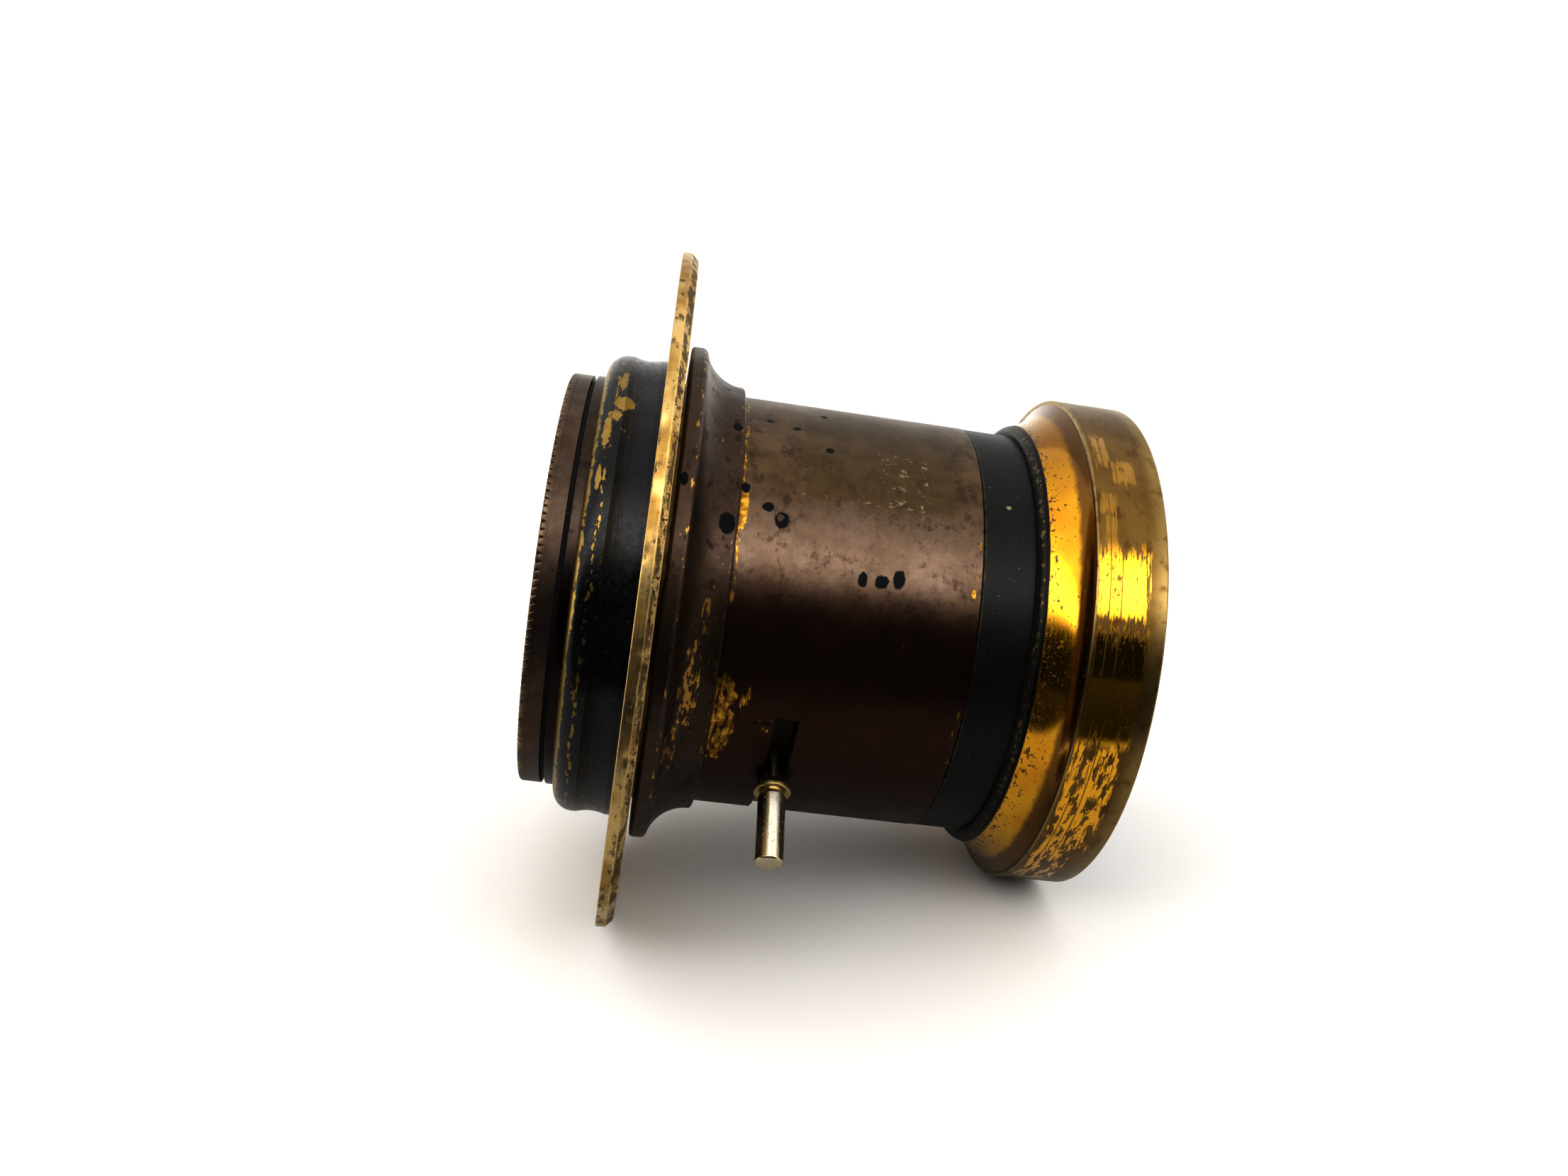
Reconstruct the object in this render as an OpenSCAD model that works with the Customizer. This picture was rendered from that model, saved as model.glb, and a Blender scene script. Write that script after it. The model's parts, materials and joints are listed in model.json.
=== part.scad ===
// Brass portrait lens: flange, screwed barrel with an iris, and screwed front and rear glass cells.
// Millimetres. The origin is the centre of the flange's seating face. +X points to the subject, +Z is up.
// Every piece is drawn about the local Z axis, which along_x() turns to +X (local X to Y, local Y to Z).

/* [Flange] */
// Radius of the flange plate
flange_r = 50.5; // [48:0.5:60]
// Thickness of the flange plate
flange_t = 2.4; // [2:0.1:4]
// Bevel on the front edge of the flange plate
flange_bevel = 1; // [0.2:0.1:1.2]
// Number of screw holes in the flange plate
screw_count = 4; // [3:1:8]
// Diameter of the circle of screw holes
screw_circle = 85; // [78:0.5:88]
// Radius of a screw hole
screw_hole_r = 1.8; // [1:0.1:2.4]
// Radius of the collar behind the flange plate
collar_r = 34.55; // [34.2:0.05:36]
// Length of the collar behind the flange plate
collar_l = 8.6; // [8:0.1:9]

/* [Barrel] */
// Outside radius of the main tube
tube_r = 31; // [30.8:0.05:31.1]
// Bore radius of the main tube
tube_bore_r = 29.2; // [29:0.05:29.4]
// Rear end of the main tube
tube_rear = -10; // [-11:0.1:-9.5]
// Front end of the main tube
tube_front = 45.4; // [42:0.1:48]
// Radius of the shoulder ring's rim
shoulder_r = 37.3; // [36.5:0.1:40]
// Gap left between the flange plate and the shoulder ring
shoulder_gap = 0.8; // [0.2:0.1:1.5]

/* [Iris] */
// Number of iris blades
blade_count = 12; // [10:1:13]
// Thickness of an iris blade
blade_t = 0.12; // [0.08:0.01:0.14]
// Width of an iris blade
blade_w = 6.2; // [5.8:0.1:6.4]
// Distance of the control pin in front of the flange's seating face
pin_x = 22; // [21.5:0.1:26]
// Angle of the control pin about the axis, from +Y towards +Z
pin_angle = 217; // [200:1:240]
// Angle that the control pin travels from the open iris to the closed iris
iris_travel = 60; // [40:1:62]
// Angle of the control pin from the open end of its slot, as drawn
iris_setting = 20; // [0:1:60]
// Radius of the control pin's grip
pin_r = 1.93; // [1.7:0.01:2.2]
// Distance of the control pin's tip from the axis
pin_tip = 44; // [40:0.5:48]

/* [Front cell] */
// Radius of the hood ring
hood_r = 37.25; // [37:0.05:38]
// Front end of the hood ring
hood_front = 68.9; // [68.4:0.1:70]
// Radius of the front glass
front_glass_r = 31; // [30:0.1:31.2]

/* [Rear cell] */
// Radius of the rear cell's rim
rear_rim_r = 30.9; // [30.5:0.1:31]
// Rear end of the rear cell
rear_end = -13.7; // [-14:0.1:-13.5]
// Number of beads along the rear cell's edge
bead_count = 180; // [60:1:200]
// Radius of the rear glass
rear_glass_r = 26.5; // [25:0.1:26.6]

/* [Hidden] */
blade_names = [for (i = [1:blade_count]) str("iris_blade_", i < 10 ? "0" : "", i)];
$fn = 120;

// Fits and threads
play = 0.05;                 // radial gap between pieces that turn in one another
face_gap = 0.02;             // axial gap between faces that part when a cell unscrews
pin_play = 0.03;             // radial gap around the control pin in the drive ring
glass_gap = 0.05;            // gap between a glass and the ring or ledge that holds it
flange_pitch = 25.4 / 24;    // pitch of the flange thread
cell_pitch = 25.4 / 32;      // pitch of the cell threads
thread_depth = 0.35;
spigot_r = tube_bore_r - play;
thread_r = tube_r + 1;       // crest radius of the flange thread
thread_bore_r = thread_r + play;
thread_rear = -6.8;
shoulder_rear = flange_t + shoulder_gap;
shoulder_front = 11.4;
tenon_r = collar_r + 0.4;    // the collar's tenon in the flange plate
edge = 0.15;                 // broken edge on turned pieces

// Iris
pivot_circle = 24.1;
blade_inner_r = pivot_circle - blade_w / 2;
stud_span = 150;             // angle between a blade's two studs
blade_ratio = 0.5;           // blade angle for each degree of the control pin
blade_rise = 0.0135;         // rise of a blade for each degree along it, so that it lies over its neighbour
blade_rear = 17.9;
stud_r = 0.55;
stud_turn = 33;              // keeps the flats of a stud's rounding off the blade's own edges
sheet_grip = 0.04;           // how far a stud is sunk in its blade
plate_front = 17.6;
plate_t = 1.2;
ring_rear = pin_x - 1.6;
ring_front = pin_x + 1.5;
ring_r = tube_bore_r - 0.15;
ring_slot_r = 0.8;
pin_shank_r = 1.45;
pin_screw_r = 1.15;
pin_seat_r = ring_r - 0.4;   // where the pin's shank stands in the drive ring
pin_foot_r = 24.6;
slot_w = 3.3;
slot_ends = [pin_angle - iris_setting, pin_angle - iris_setting + iris_travel];
blade_phase = pin_angle - iris_setting - stud_span - 180 / blade_count;
collar_top = 33.15;

// Front cell
band_r = tube_r - 0.1;
front_spigot_rear = tube_front - 6;
lip_x = 54.2;
lip_r = 32.72;
crest_x = 58.9;
crest_r = 36.7;
neck_r = 34.4;
bell_front = 65;
hood_bore_r = 35.7;

// Rear cell
rear_spigot_front = -1;
rear_step_x = -11.7;

// Glass: where its faces cross the axis, and the radii of their curves. A negative curve is hollow.
front_glass_vertex = 67.2;
front_joint = 55.7;
front_rear_vertex = 52.6;
crown_curve = 120;
joint_curve = 95;
flint_rear_curve = 300;
rear_vertex = -12.9;
rear_crown_front = -4.9;
rear_flint_rear = -3.9;
rear_flint_front = -0.9;
rear_crown_curves = [120, 100];
rear_flint_curves = [-110, 200];

// How far a curved face has fallen back at a distance from the axis
function fall(curve, r) = abs(curve) - sqrt(curve * curve - r * r);

// Ledges and rings that hold the glass, a little clear of it
front_seat_r = 29.9;
front_ledge_x = front_rear_vertex + fall(flint_rear_curve, front_seat_r) - glass_gap;
rear_seat_r = rear_glass_r - 1.3;
rear_ledge_x = rear_flint_front - fall(rear_flint_curves[1], rear_seat_r) + glass_gap;
front_ring_r = front_glass_r - 1.7;
rear_ring_r = rear_glass_r - 1.6;
spacer_r = rear_glass_r - 1.4;

function arc(r, x, size, from, to, steps) =
    [for (k = [0:steps]) let (a = from + (to - from) * k / steps) [r + size * cos(a), x + size * sin(a)]];
function thread(r, from, to, pitch) =
    [for (k = [0:floor((to - from) / pitch) - 1], p = [[0, 0], [0.3, 0], [0.6, 1], [0.7, 1]])
        [r - thread_depth * p[1], from + (k + p[0]) * pitch]];

module along_x() {
    rotate([90, 0, 90]) children();
}

// A piece turned about the axis, from points [radius, distance along the axis]
module turned(points) {
    along_x() rotate_extrude() polygon(points);
}

// A plain ring with broken edges
module ring(inner, outer, rear, front) {
    turned([
        [inner + edge, rear], [outer - edge, rear], [outer, rear + edge], [outer, front - edge],
        [outer - edge, front], [inner + edge, front], [inner, front - edge], [inner, rear + edge]
    ]);
}

// A place at an angle about the axis and a distance along it, with local Z pointing outwards
module outwards(angle, x) {
    along_x() rotate([0, 0, angle]) translate([0, 0, x]) rotate([0, 90, 0]) children();
}

// Glass between two surfaces. A positive curve radius bulges outwards, and a negative one is hollow.
module glass(r, rear, rear_curve, front, front_curve) {
    reach = 12;
    along_x() intersection() {
        difference() {
            translate([0, 0, rear - reach]) cylinder(r = r, h = front - rear + 2 * reach);
            if (rear_curve < 0) translate([0, 0, rear + rear_curve]) sphere(r = -rear_curve, $fn = 240);
            if (front_curve < 0) translate([0, 0, front - front_curve]) sphere(r = -front_curve, $fn = 240);
        }
        if (rear_curve > 0) translate([0, 0, rear + rear_curve]) sphere(r = rear_curve, $fn = 240);
        if (front_curve > 0) translate([0, 0, front - front_curve]) sphere(r = front_curve, $fn = 240);
    }
}

module flange_plate() {
    sink = 1.4;
    countersink_r = screw_hole_r + sink;
    color("darkgoldenrod") difference() {
        turned([
            [tenon_r, 0], [flange_r - edge, 0], [flange_r, edge], [flange_r, flange_t - flange_bevel],
            [flange_r - flange_bevel, flange_t], [tenon_r, flange_t]
        ]);
        along_x() for (k = [0:screw_count - 1])
            rotate([0, 0, 360 * (k + 0.5) / screw_count]) translate([screw_circle / 2, 0, 0]) {
                translate([0, 0, -1]) cylinder(r = screw_hole_r, h = flange_t + 2, $fn = 48);
                translate([0, 0, flange_t - sink])
                    cylinder(r1 = screw_hole_r, r2 = countersink_r, h = sink, $fn = 48);
                translate([0, 0, flange_t]) cylinder(r = countersink_r, h = 1, $fn = 48);
            }
    }
}

// The collar has a rounded rear edge, a raised band and a shallow cove before the flange plate
module flange_collar() {
    rear_round = 2.9;
    cove_size = 6.5;
    cove_depth = 0.35;
    cove_x = -2.9;
    cove_half = acos((cove_size - cove_depth) / cove_size);
    lip_bore_r = tube_r + 0.1;
    shelf = thread_rear - shoulder_gap - 0.15;   // clear of the sleeve when it is screwed right home
    color("dimgray") turned(concat(
        [[thread_bore_r, flange_t], [thread_bore_r, shelf], [lip_bore_r, shelf], [lip_bore_r, -collar_l]],
        arc(collar_r - rear_round, rear_round - collar_l, rear_round, -86, 0, 10),
        [[collar_r, cove_x - cove_size * sin(cove_half)]],
        arc(collar_r + cove_size - cove_depth, cove_x, cove_size, 180 + cove_half, 180 - cove_half, 8),
        [[collar_r, 0], [tenon_r, 0], [tenon_r, flange_t]]
    ));
}

// A rim and a hollow flare on the outside, and the flange thread on the sleeve behind them
module shoulder_ring() {
    bore_r = tube_r + play;
    flare_size = 6;
    flare_r = 32.3;
    flare_start = 195;
    color("rosybrown") turned(concat(
        [[bore_r, thread_rear], [thread_r - thread_depth, thread_rear]],
        thread(thread_r, thread_rear + 0.5, shoulder_rear - 0.6, flange_pitch),
        [[thread_r - thread_depth, shoulder_rear - 0.6], [thread_r - thread_depth, shoulder_rear]],
        [[shoulder_r - 0.3, shoulder_rear], [shoulder_r, shoulder_rear + 0.3]],
        [[shoulder_r, shoulder_rear + 1.7], [shoulder_r - 0.15, shoulder_rear + 2.1]],
        arc(flare_r + flare_size, shoulder_front, flare_size, 360 - flare_start + 90, 180, 12),
        [[flare_r, shoulder_front + 0.1], [flare_r - 0.2, shoulder_front + 0.3]],
        [[bore_r, shoulder_front + 0.3]]
    ));
}

// The main tube, with the square-ended slot for the control pin and a short index line beside it
module barrel_tube() {
    slot_over = 2.95;
    color("saddlebrown") difference() {
        ring(tube_bore_r, tube_r, tube_rear, tube_front);
        along_x() rotate([0, 0, slot_ends[0] - slot_over])
            rotate_extrude(angle = iris_travel + 2 * slot_over)
                translate([tube_bore_r - 1, pin_x - slot_w / 2]) square([4, slot_w]);
        outwards(slot_ends[0] - 1, pin_x - 3.2) translate([-1.3, -0.12, tube_r - 0.15]) cube([2.6, 0.24, 1]);
    }
}

// The fixed plate behind the blades, with a hole for each blade's pivot
module iris_pivot_plate() {
    color("dimgray") difference() {
        ring(blade_inner_r, spigot_r, plate_front - plate_t, plate_front);
        along_x() for (k = [0:blade_count - 1])
            rotate([0, 0, blade_phase + 360 * k / blade_count])
                translate([pivot_circle, 0, plate_front - plate_t - 1])
                    cylinder(r = stud_r + play, h = plate_t + 2, $fn = 32);
    }
}

// The ring that the control pin turns, with a radial slot for each blade's second stud
module iris_drive_ring() {
    slot_in = pivot_circle - 1.6;
    slot_out = pivot_circle + 0.1;
    color("goldenrod") difference() {
        ring(blade_inner_r, ring_r, ring_rear, ring_front);
        along_x() for (k = [0:blade_count - 1])
            rotate([0, 0, blade_phase + stud_span + iris_setting + 360 * k / blade_count])
                translate([0, 0, ring_rear - 1]) linear_extrude(ring_front - ring_rear + 2) {
                    translate([slot_in, 0]) circle(ring_slot_r, $fn = 32);
                    translate([slot_out, 0]) circle(ring_slot_r, $fn = 32);
                    translate([slot_in, -ring_slot_r]) square([slot_out - slot_in, 2 * ring_slot_r]);
                }
        outwards(pin_angle, pin_x) {
            translate([0, 0, pin_foot_r - 0.1])
                cylinder(r = pin_screw_r + pin_play, h = pin_tip - pin_foot_r, $fn = 64);
            translate([0, 0, pin_seat_r])
                cylinder(r = pin_shank_r + pin_play, h = pin_tip - pin_seat_r, $fn = 64);
        }
    }
}

module iris_retaining_ring() {
    color("dimgray") ring(blade_inner_r + 0.3, spigot_r, ring_front + 0.1, ring_front + 1.4);
}

// The control pin: a screwed end, a shank through the slot, a relieved neck and a plain grip
module iris_pin() {
    color("lightgray") outwards(pin_angle, pin_x) rotate_extrude($fn = 64) polygon([
        [0, pin_foot_r], [pin_screw_r, pin_foot_r], [pin_screw_r, pin_seat_r], [pin_shank_r, pin_seat_r],
        [pin_shank_r, collar_top + 0.5], [pin_r - 0.15, collar_top + 0.5], [pin_r, collar_top + 0.65],
        [pin_r, pin_tip - 0.35], [pin_r - 0.2, pin_tip - 0.12], [pin_r * 0.55, pin_tip - 0.02], [0, pin_tip]
    ]);
}

module iris_pin_collar() {
    collar_foot = 31.45;
    rim_r = 2.65;
    color("goldenrod") outwards(pin_angle, pin_x) rotate_extrude($fn = 64) polygon([
        [pin_shank_r, collar_foot], [rim_r - 0.55, collar_foot], [rim_r, collar_top - 0.6],
        [rim_r, collar_top - 0.15], [rim_r - 0.15, collar_top], [pin_shank_r, collar_top]
    ]);
}

// Half the width of a blade at an angle along it. Both ends are rounded about their studs.
function blade_half(t) =
    let (over = t < 0 ? -t : t > stud_span ? t - stud_span : 0, run = pivot_circle * over * PI / 180)
    sqrt(max(0.04, pow(blade_w / 2, 2) - run * run));

// A thin crescent that climbs along its length, drawn with its pivot on local X at the open setting
module blade_sheet() {
    end_turn = 7.1;
    ends = [for (k = [0:3]) end_turn * cos(k * 30)];
    stations = concat([for (e = ends) if (e > 0.01) -e], [for (k = [0:20]) stud_span * k / 20],
        [for (k = [3:-1:0]) if (ends[k] > 0.01) stud_span + ends[k]]);
    last = len(stations) - 1;
    points = [for (t = stations, side = [-1, 1], top = [0, 1])
        let (r = pivot_circle + side * blade_half(t))
        [r * cos(t), r * sin(t), blade_rear + blade_rise * t + top * blade_t]];
    sides = [for (k = [0:last - 1]) let (a = 4 * k, b = a + 4) each [
        [a, a + 2, b], [a + 2, b + 2, b],
        [a + 1, b + 1, a + 3], [a + 3, b + 1, b + 3],
        [a, b, a + 1], [a + 1, b, b + 1],
        [a + 2, a + 3, b + 2], [a + 3, b + 3, b + 2]
    ]];
    end = 4 * last;
    caps = [[0, 1, 2], [1, 3, 2], [end, end + 2, end + 1], [end + 1, end + 2, end + 3]];
    polyhedron(points, concat(sides, caps));
}

// A blade with its pivot stud on the rear face and its drive stud on the front face
module iris_blade(number) {
    stud_rear = plate_front - plate_t + 0.1;
    far_z = blade_rear + blade_rise * stud_span + sheet_grip;
    color("slategray") along_x()
        rotate([0, 0, blade_phase + 360 * (number - 1) / blade_count])
            translate([pivot_circle, 0, 0]) rotate([0, 0, iris_setting * blade_ratio])
                translate([-pivot_circle, 0, 0]) {
                    blade_sheet();
                    translate([pivot_circle, 0, stud_rear]) rotate([0, 0, stud_turn])
                        cylinder(r = stud_r, h = blade_rear + 2 * sheet_grip - stud_rear, $fn = 32);
                    rotate([0, 0, stud_span]) translate([pivot_circle, 0, far_z]) rotate([0, 0, stud_turn])
                        cylinder(r = stud_r, h = ring_front - 0.3 - far_z, $fn = 32);
                }
}

// The black tube between the barrel and the bell, screwed into both
module front_cell_tube() {
    bore_r = 27.6;
    neck_front = front_rear_vertex + fall(flint_rear_curve, bore_r) - glass_gap;
    color("dimgray") turned(concat(
        [[bore_r, front_spigot_rear], [spigot_r - thread_depth, front_spigot_rear]],
        thread(spigot_r, front_spigot_rear + 0.3, tube_front - 0.7, cell_pitch),
        [[spigot_r - thread_depth, tube_front - 0.7], [spigot_r - thread_depth, tube_front + face_gap]],
        [[band_r - edge, tube_front + face_gap], [band_r, tube_front + face_gap + edge]],
        [[band_r, lip_x - 1.4], [front_seat_r, lip_x - 1.4], [front_seat_r, neck_front], [bore_r, neck_front]]
    ));
}

// The bell: a rounded lip, a hollow flare up to its crest, and a neck inside the hood ring
module front_bell() {
    lip_size = 1.65;
    chord = norm([crest_x - lip_x, crest_r - lip_r]);
    chord_angle = atan2(crest_r - lip_r, crest_x - lip_x);
    half_turn = 24;
    flare_size = chord / 2 / sin(half_turn);
    start = chord_angle - half_turn;
    centre = [lip_r + flare_size * cos(start), lip_x - flare_size * sin(start)];
    color("gold") turned(concat(
        [[front_seat_r, lip_x - 1.4], [band_r + 0.2, lip_x - 1.4]],
        arc(lip_r - lip_size, lip_x + 0.2, lip_size, -82, -7, 8),
        arc(centre[0], centre[1], flare_size, 180 - start, 180 - start - 2 * half_turn, 12),
        [[neck_r, crest_x], [neck_r, bell_front - 0.3], [neck_r - 0.3, bell_front]],
        [[front_glass_r + 0.35, bell_front], [front_glass_r + play, bell_front - 0.3]],
        [[front_glass_r + play, front_ledge_x], [front_seat_r, front_ledge_x]]
    ));
}

// The hood ring slips over the bell's neck and stands in front of the glass
module front_hood_ring() {
    shelf = bell_front + 0.05;
    mouth = 0.45;
    color("burlywood") turned(concat(
        [[neck_r, crest_x], [hood_r - 0.12, crest_x], [hood_r, crest_x + 0.12], [hood_r, hood_front - mouth]],
        arc(hood_r - mouth, hood_front - mouth, mouth, 0, 90, 5),
        arc(hood_bore_r + mouth, hood_front - mouth, mouth, 90, 180, 5),
        [[hood_bore_r, shelf + 0.6], [hood_bore_r - 0.4, shelf], [neck_r, shelf]]
    ));
}

// A screwed ring that holds the front glass: it follows the glass's fall behind, and is bevelled in front
module front_retaining_ring() {
    bevel = 1.1;
    face = bell_front - 0.4;
    color("dimgray") turned([
        [front_ring_r, front_glass_vertex - fall(crown_curve, front_ring_r) + glass_gap],
        [front_glass_r + play, front_glass_vertex - fall(crown_curve, front_glass_r) + glass_gap],
        [front_glass_r + play, face], [front_ring_r + bevel, face]
    ]);
}

module front_crown_glass() {
    color("lightcyan", 0.4) glass(front_glass_r, front_joint, joint_curve, front_glass_vertex, crown_curve);
}

module front_flint_glass() {
    color("lightblue", 0.4)
        glass(front_glass_r, front_rear_vertex, flint_rear_curve, front_joint, -joint_curve);
}

module rear_crown_glass() {
    color("lightcyan", 0.4)
        glass(rear_glass_r, rear_vertex, rear_crown_curves[0], rear_crown_front, rear_crown_curves[1]);
}

module rear_flint_glass() {
    color("lightblue", 0.4)
        glass(rear_glass_r, rear_flint_rear, rear_flint_curves[0], rear_flint_front, rear_flint_curves[1]);
}

module rear_spacer_ring() {
    gap = glass_gap / 2;
    color("dimgray") turned([
        [spacer_r, rear_crown_front - fall(rear_crown_curves[1], spacer_r) + gap],
        [rear_glass_r, rear_crown_front - fall(rear_crown_curves[1], rear_glass_r) + gap],
        [rear_glass_r, rear_flint_rear - fall(rear_flint_curves[0], rear_glass_r) - gap],
        [spacer_r, rear_flint_rear - fall(rear_flint_curves[0], spacer_r) - gap]
    ]);
}

module rear_retaining_ring() {
    color("dimgray") turned([
        [rear_ring_r, rear_vertex + fall(rear_crown_curves[0], rear_ring_r) - glass_gap],
        [rear_glass_r + play, rear_vertex + fall(rear_crown_curves[0], rear_glass_r) - glass_gap],
        [rear_glass_r + play, rear_step_x], [rear_glass_r - 0.5, rear_step_x]
    ]);
}

// The rear cell, with a row of beads cut along the rear edge of its rim
module rear_cell_ring() {
    groove_r = rear_rim_r - 0.9;
    groove_w = 0.6;
    bead_depth = 0.42;
    bead_w = 2 * PI * rear_rim_r / bead_count;
    mouth_r = rear_glass_r + 1.4;
    rim_front = tube_rear - face_gap;
    color("sienna") difference() {
        turned(concat(
            [[mouth_r, rear_end + 0.5], [mouth_r + 0.5, rear_end], [rear_rim_r - 0.2, rear_end]],
            [[rear_rim_r, rear_end + 0.2], [rear_rim_r, rim_front - groove_w]],
            [[groove_r, rim_front - groove_w], [groove_r, rim_front], [spigot_r - thread_depth, rim_front]],
            [[spigot_r - thread_depth, rim_front + 0.5]],
            thread(spigot_r, rim_front + 0.6, rear_spigot_front - 0.4, cell_pitch),
            [[spigot_r - thread_depth, rear_spigot_front - 0.3]],
            [[spigot_r - thread_depth, rear_spigot_front]],
            [[rear_seat_r, rear_spigot_front], [rear_seat_r, rear_ledge_x]],
            [[rear_glass_r + play, rear_ledge_x], [rear_glass_r + play, rear_step_x], [mouth_r, rear_step_x]]
        ));
        along_x() for (k = [0:bead_count - 1])
            rotate([0, 0, 360 * k / bead_count]) translate([rear_rim_r, 0, rear_end]) rotate([0, -45, 0])
                rotate([90, 0, 90]) translate([0, 0, -2]) linear_extrude(4)
                    polygon([[-bead_w / 2.2, -0.3], [0, bead_depth], [bead_w / 2.2, -0.3]]);
    }
}

flange_plate();
flange_collar();
shoulder_ring();
barrel_tube();
iris_pivot_plate();
iris_drive_ring();
iris_retaining_ring();
iris_pin();
iris_pin_collar();
front_cell_tube();
front_bell();
front_hood_ring();
front_retaining_ring();
front_crown_glass();
front_flint_glass();
rear_cell_ring();
rear_retaining_ring();
rear_spacer_ring();
rear_crown_glass();
rear_flint_glass();
for (i = [1:blade_count]) iris_blade(i);
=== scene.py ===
import json
import math

import bmesh
import bpy
from mathutils import Matrix, Vector

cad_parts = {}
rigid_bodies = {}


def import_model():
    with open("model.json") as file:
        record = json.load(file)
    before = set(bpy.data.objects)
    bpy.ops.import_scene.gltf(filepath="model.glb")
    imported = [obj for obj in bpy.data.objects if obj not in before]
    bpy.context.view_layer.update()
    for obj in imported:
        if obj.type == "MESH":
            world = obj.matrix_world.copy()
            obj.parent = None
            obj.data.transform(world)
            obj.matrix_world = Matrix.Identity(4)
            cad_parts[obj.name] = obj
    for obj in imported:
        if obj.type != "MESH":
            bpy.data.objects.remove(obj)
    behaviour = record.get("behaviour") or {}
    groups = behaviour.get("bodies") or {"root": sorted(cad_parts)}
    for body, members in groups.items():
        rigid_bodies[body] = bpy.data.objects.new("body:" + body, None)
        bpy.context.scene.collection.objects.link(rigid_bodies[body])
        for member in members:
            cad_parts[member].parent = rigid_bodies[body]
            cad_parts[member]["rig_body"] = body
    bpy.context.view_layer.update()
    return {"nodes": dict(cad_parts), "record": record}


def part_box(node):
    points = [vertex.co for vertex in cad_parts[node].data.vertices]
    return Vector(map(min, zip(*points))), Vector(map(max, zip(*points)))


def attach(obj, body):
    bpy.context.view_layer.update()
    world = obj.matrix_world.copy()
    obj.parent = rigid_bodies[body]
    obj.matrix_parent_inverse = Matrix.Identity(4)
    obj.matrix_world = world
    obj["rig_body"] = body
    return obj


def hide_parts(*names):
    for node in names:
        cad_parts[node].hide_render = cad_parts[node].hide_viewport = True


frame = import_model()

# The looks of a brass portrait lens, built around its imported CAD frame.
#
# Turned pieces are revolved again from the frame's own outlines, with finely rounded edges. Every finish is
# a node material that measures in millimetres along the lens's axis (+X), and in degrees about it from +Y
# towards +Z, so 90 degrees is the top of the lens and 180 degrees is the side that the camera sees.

MM = 0.001
SAME_POINT = 0.002 * MM
NODES = frame["nodes"]
MOUNT = {mount["name"]: mount for mount in frame["record"]["mounts"]}


def span(node):
    """A turned node's rear end, front end and largest radius, in millimetres."""
    low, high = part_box(node)
    return tuple(round(value / MM, 3) for value in (low.x, high.x, high.y))


PLATE_REAR, PLATE_FRONT, PLATE_R = span("flange_plate")
COLLAR_REAR, _, COLLAR_R = span("flange_collar")
_, SHOULDER_FRONT, SHOULDER_R = span("shoulder_ring")
_, TUBE_FRONT, TUBE_R = span("barrel_tube")
CELL_REAR, _, CELL_R = span("rear_cell_ring")
_, BELL_FRONT, _ = span("front_bell")
HOOD_REAR, HOOD_FRONT, HOOD_R = span("front_hood_ring")
PIN_X = sum(span("iris_pin")[:2]) / 2
RIM_REAR = PLATE_FRONT + 0.8         # the shoulder ring's rim stands this far in front of the flange plate
RIM_FRONT = RIM_REAR + 2.2
FLARE_REAR = BELL_FRONT - 11         # where the bell's black lip ends and its lacquered flare begins


# ---------- meshes

def axial_points(node, moved=None):
    """Each vertex of a node as (place along the axis, distance from the axis)."""
    points = [v.co for v in NODES[node].data.vertices]
    if moved:
        points = [moved @ p for p in points]
    return [(p.x, math.hypot(p.y, p.z)) for p in points]


def facing_out(points):
    """The outline in the order that gives outward faces when it is revolved."""
    area = sum(a[0] * b[1] - b[0] * a[1] for a, b in zip(points, points[1:] + points[:1]))
    return points if area < 0 else points[::-1]


def outline(node, leave_out=None):
    """The outline of a turned node, from its mesh. Points that leave_out picks are passed over."""
    corners, corner_of = [], []
    for point in axial_points(node):
        if leave_out and leave_out(*point):
            corner_of.append(None)
            continue
        match = next((i for i, corner in enumerate(corners) if math.dist(corner, point) < SAME_POINT), None)
        if match is None:
            match = len(corners)
            corners.append(point)
        corner_of.append(match)
    links = [set() for _ in corners]
    for edge in NODES[node].data.edges:
        a, b = (corner_of[i] for i in edge.vertices)
        if a != b and None not in (a, b):
            links[a].add(b)
            links[b].add(a)
    ends = [i for i, linked in enumerate(links) if len(linked) == 1]
    loop = ends[:1] or [0]
    while len(loop) < len(corners):
        onward = [i for i in sorted(links[loop[-1]]) if i not in loop]
        if not onward:
            raise ValueError(f"{node} is not a plain turned piece: {len(loop)} of {len(corners)}")
        loop.append(onward[0])
    return facing_out([corners[i] for i in loop])


def hull_outline(node):
    """The convex outline of a node whose turned section has no hollow, whatever is cut through it."""
    points = sorted(set(axial_points(node)))
    halves = []
    for ordered in (points, points[::-1]):
        half = []
        for point in ordered:
            while len(half) > 1 and cross(half[-2], half[-1], point) <= SAME_POINT * SAME_POINT:
                half.pop()
            half.append(point)
        halves.append(half[:-1])
    merged = []
    for point in halves[0] + halves[1]:
        if not merged or math.dist(merged[-1], point) > SAME_POINT:
            merged.append(point)
    return facing_out(merged)


def cross(a, b, c):
    """Above zero where the path from a by b to c turns left."""
    return (b[0] - a[0]) * (c[1] - a[1]) - (b[1] - a[1]) * (c[0] - a[0])


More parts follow.
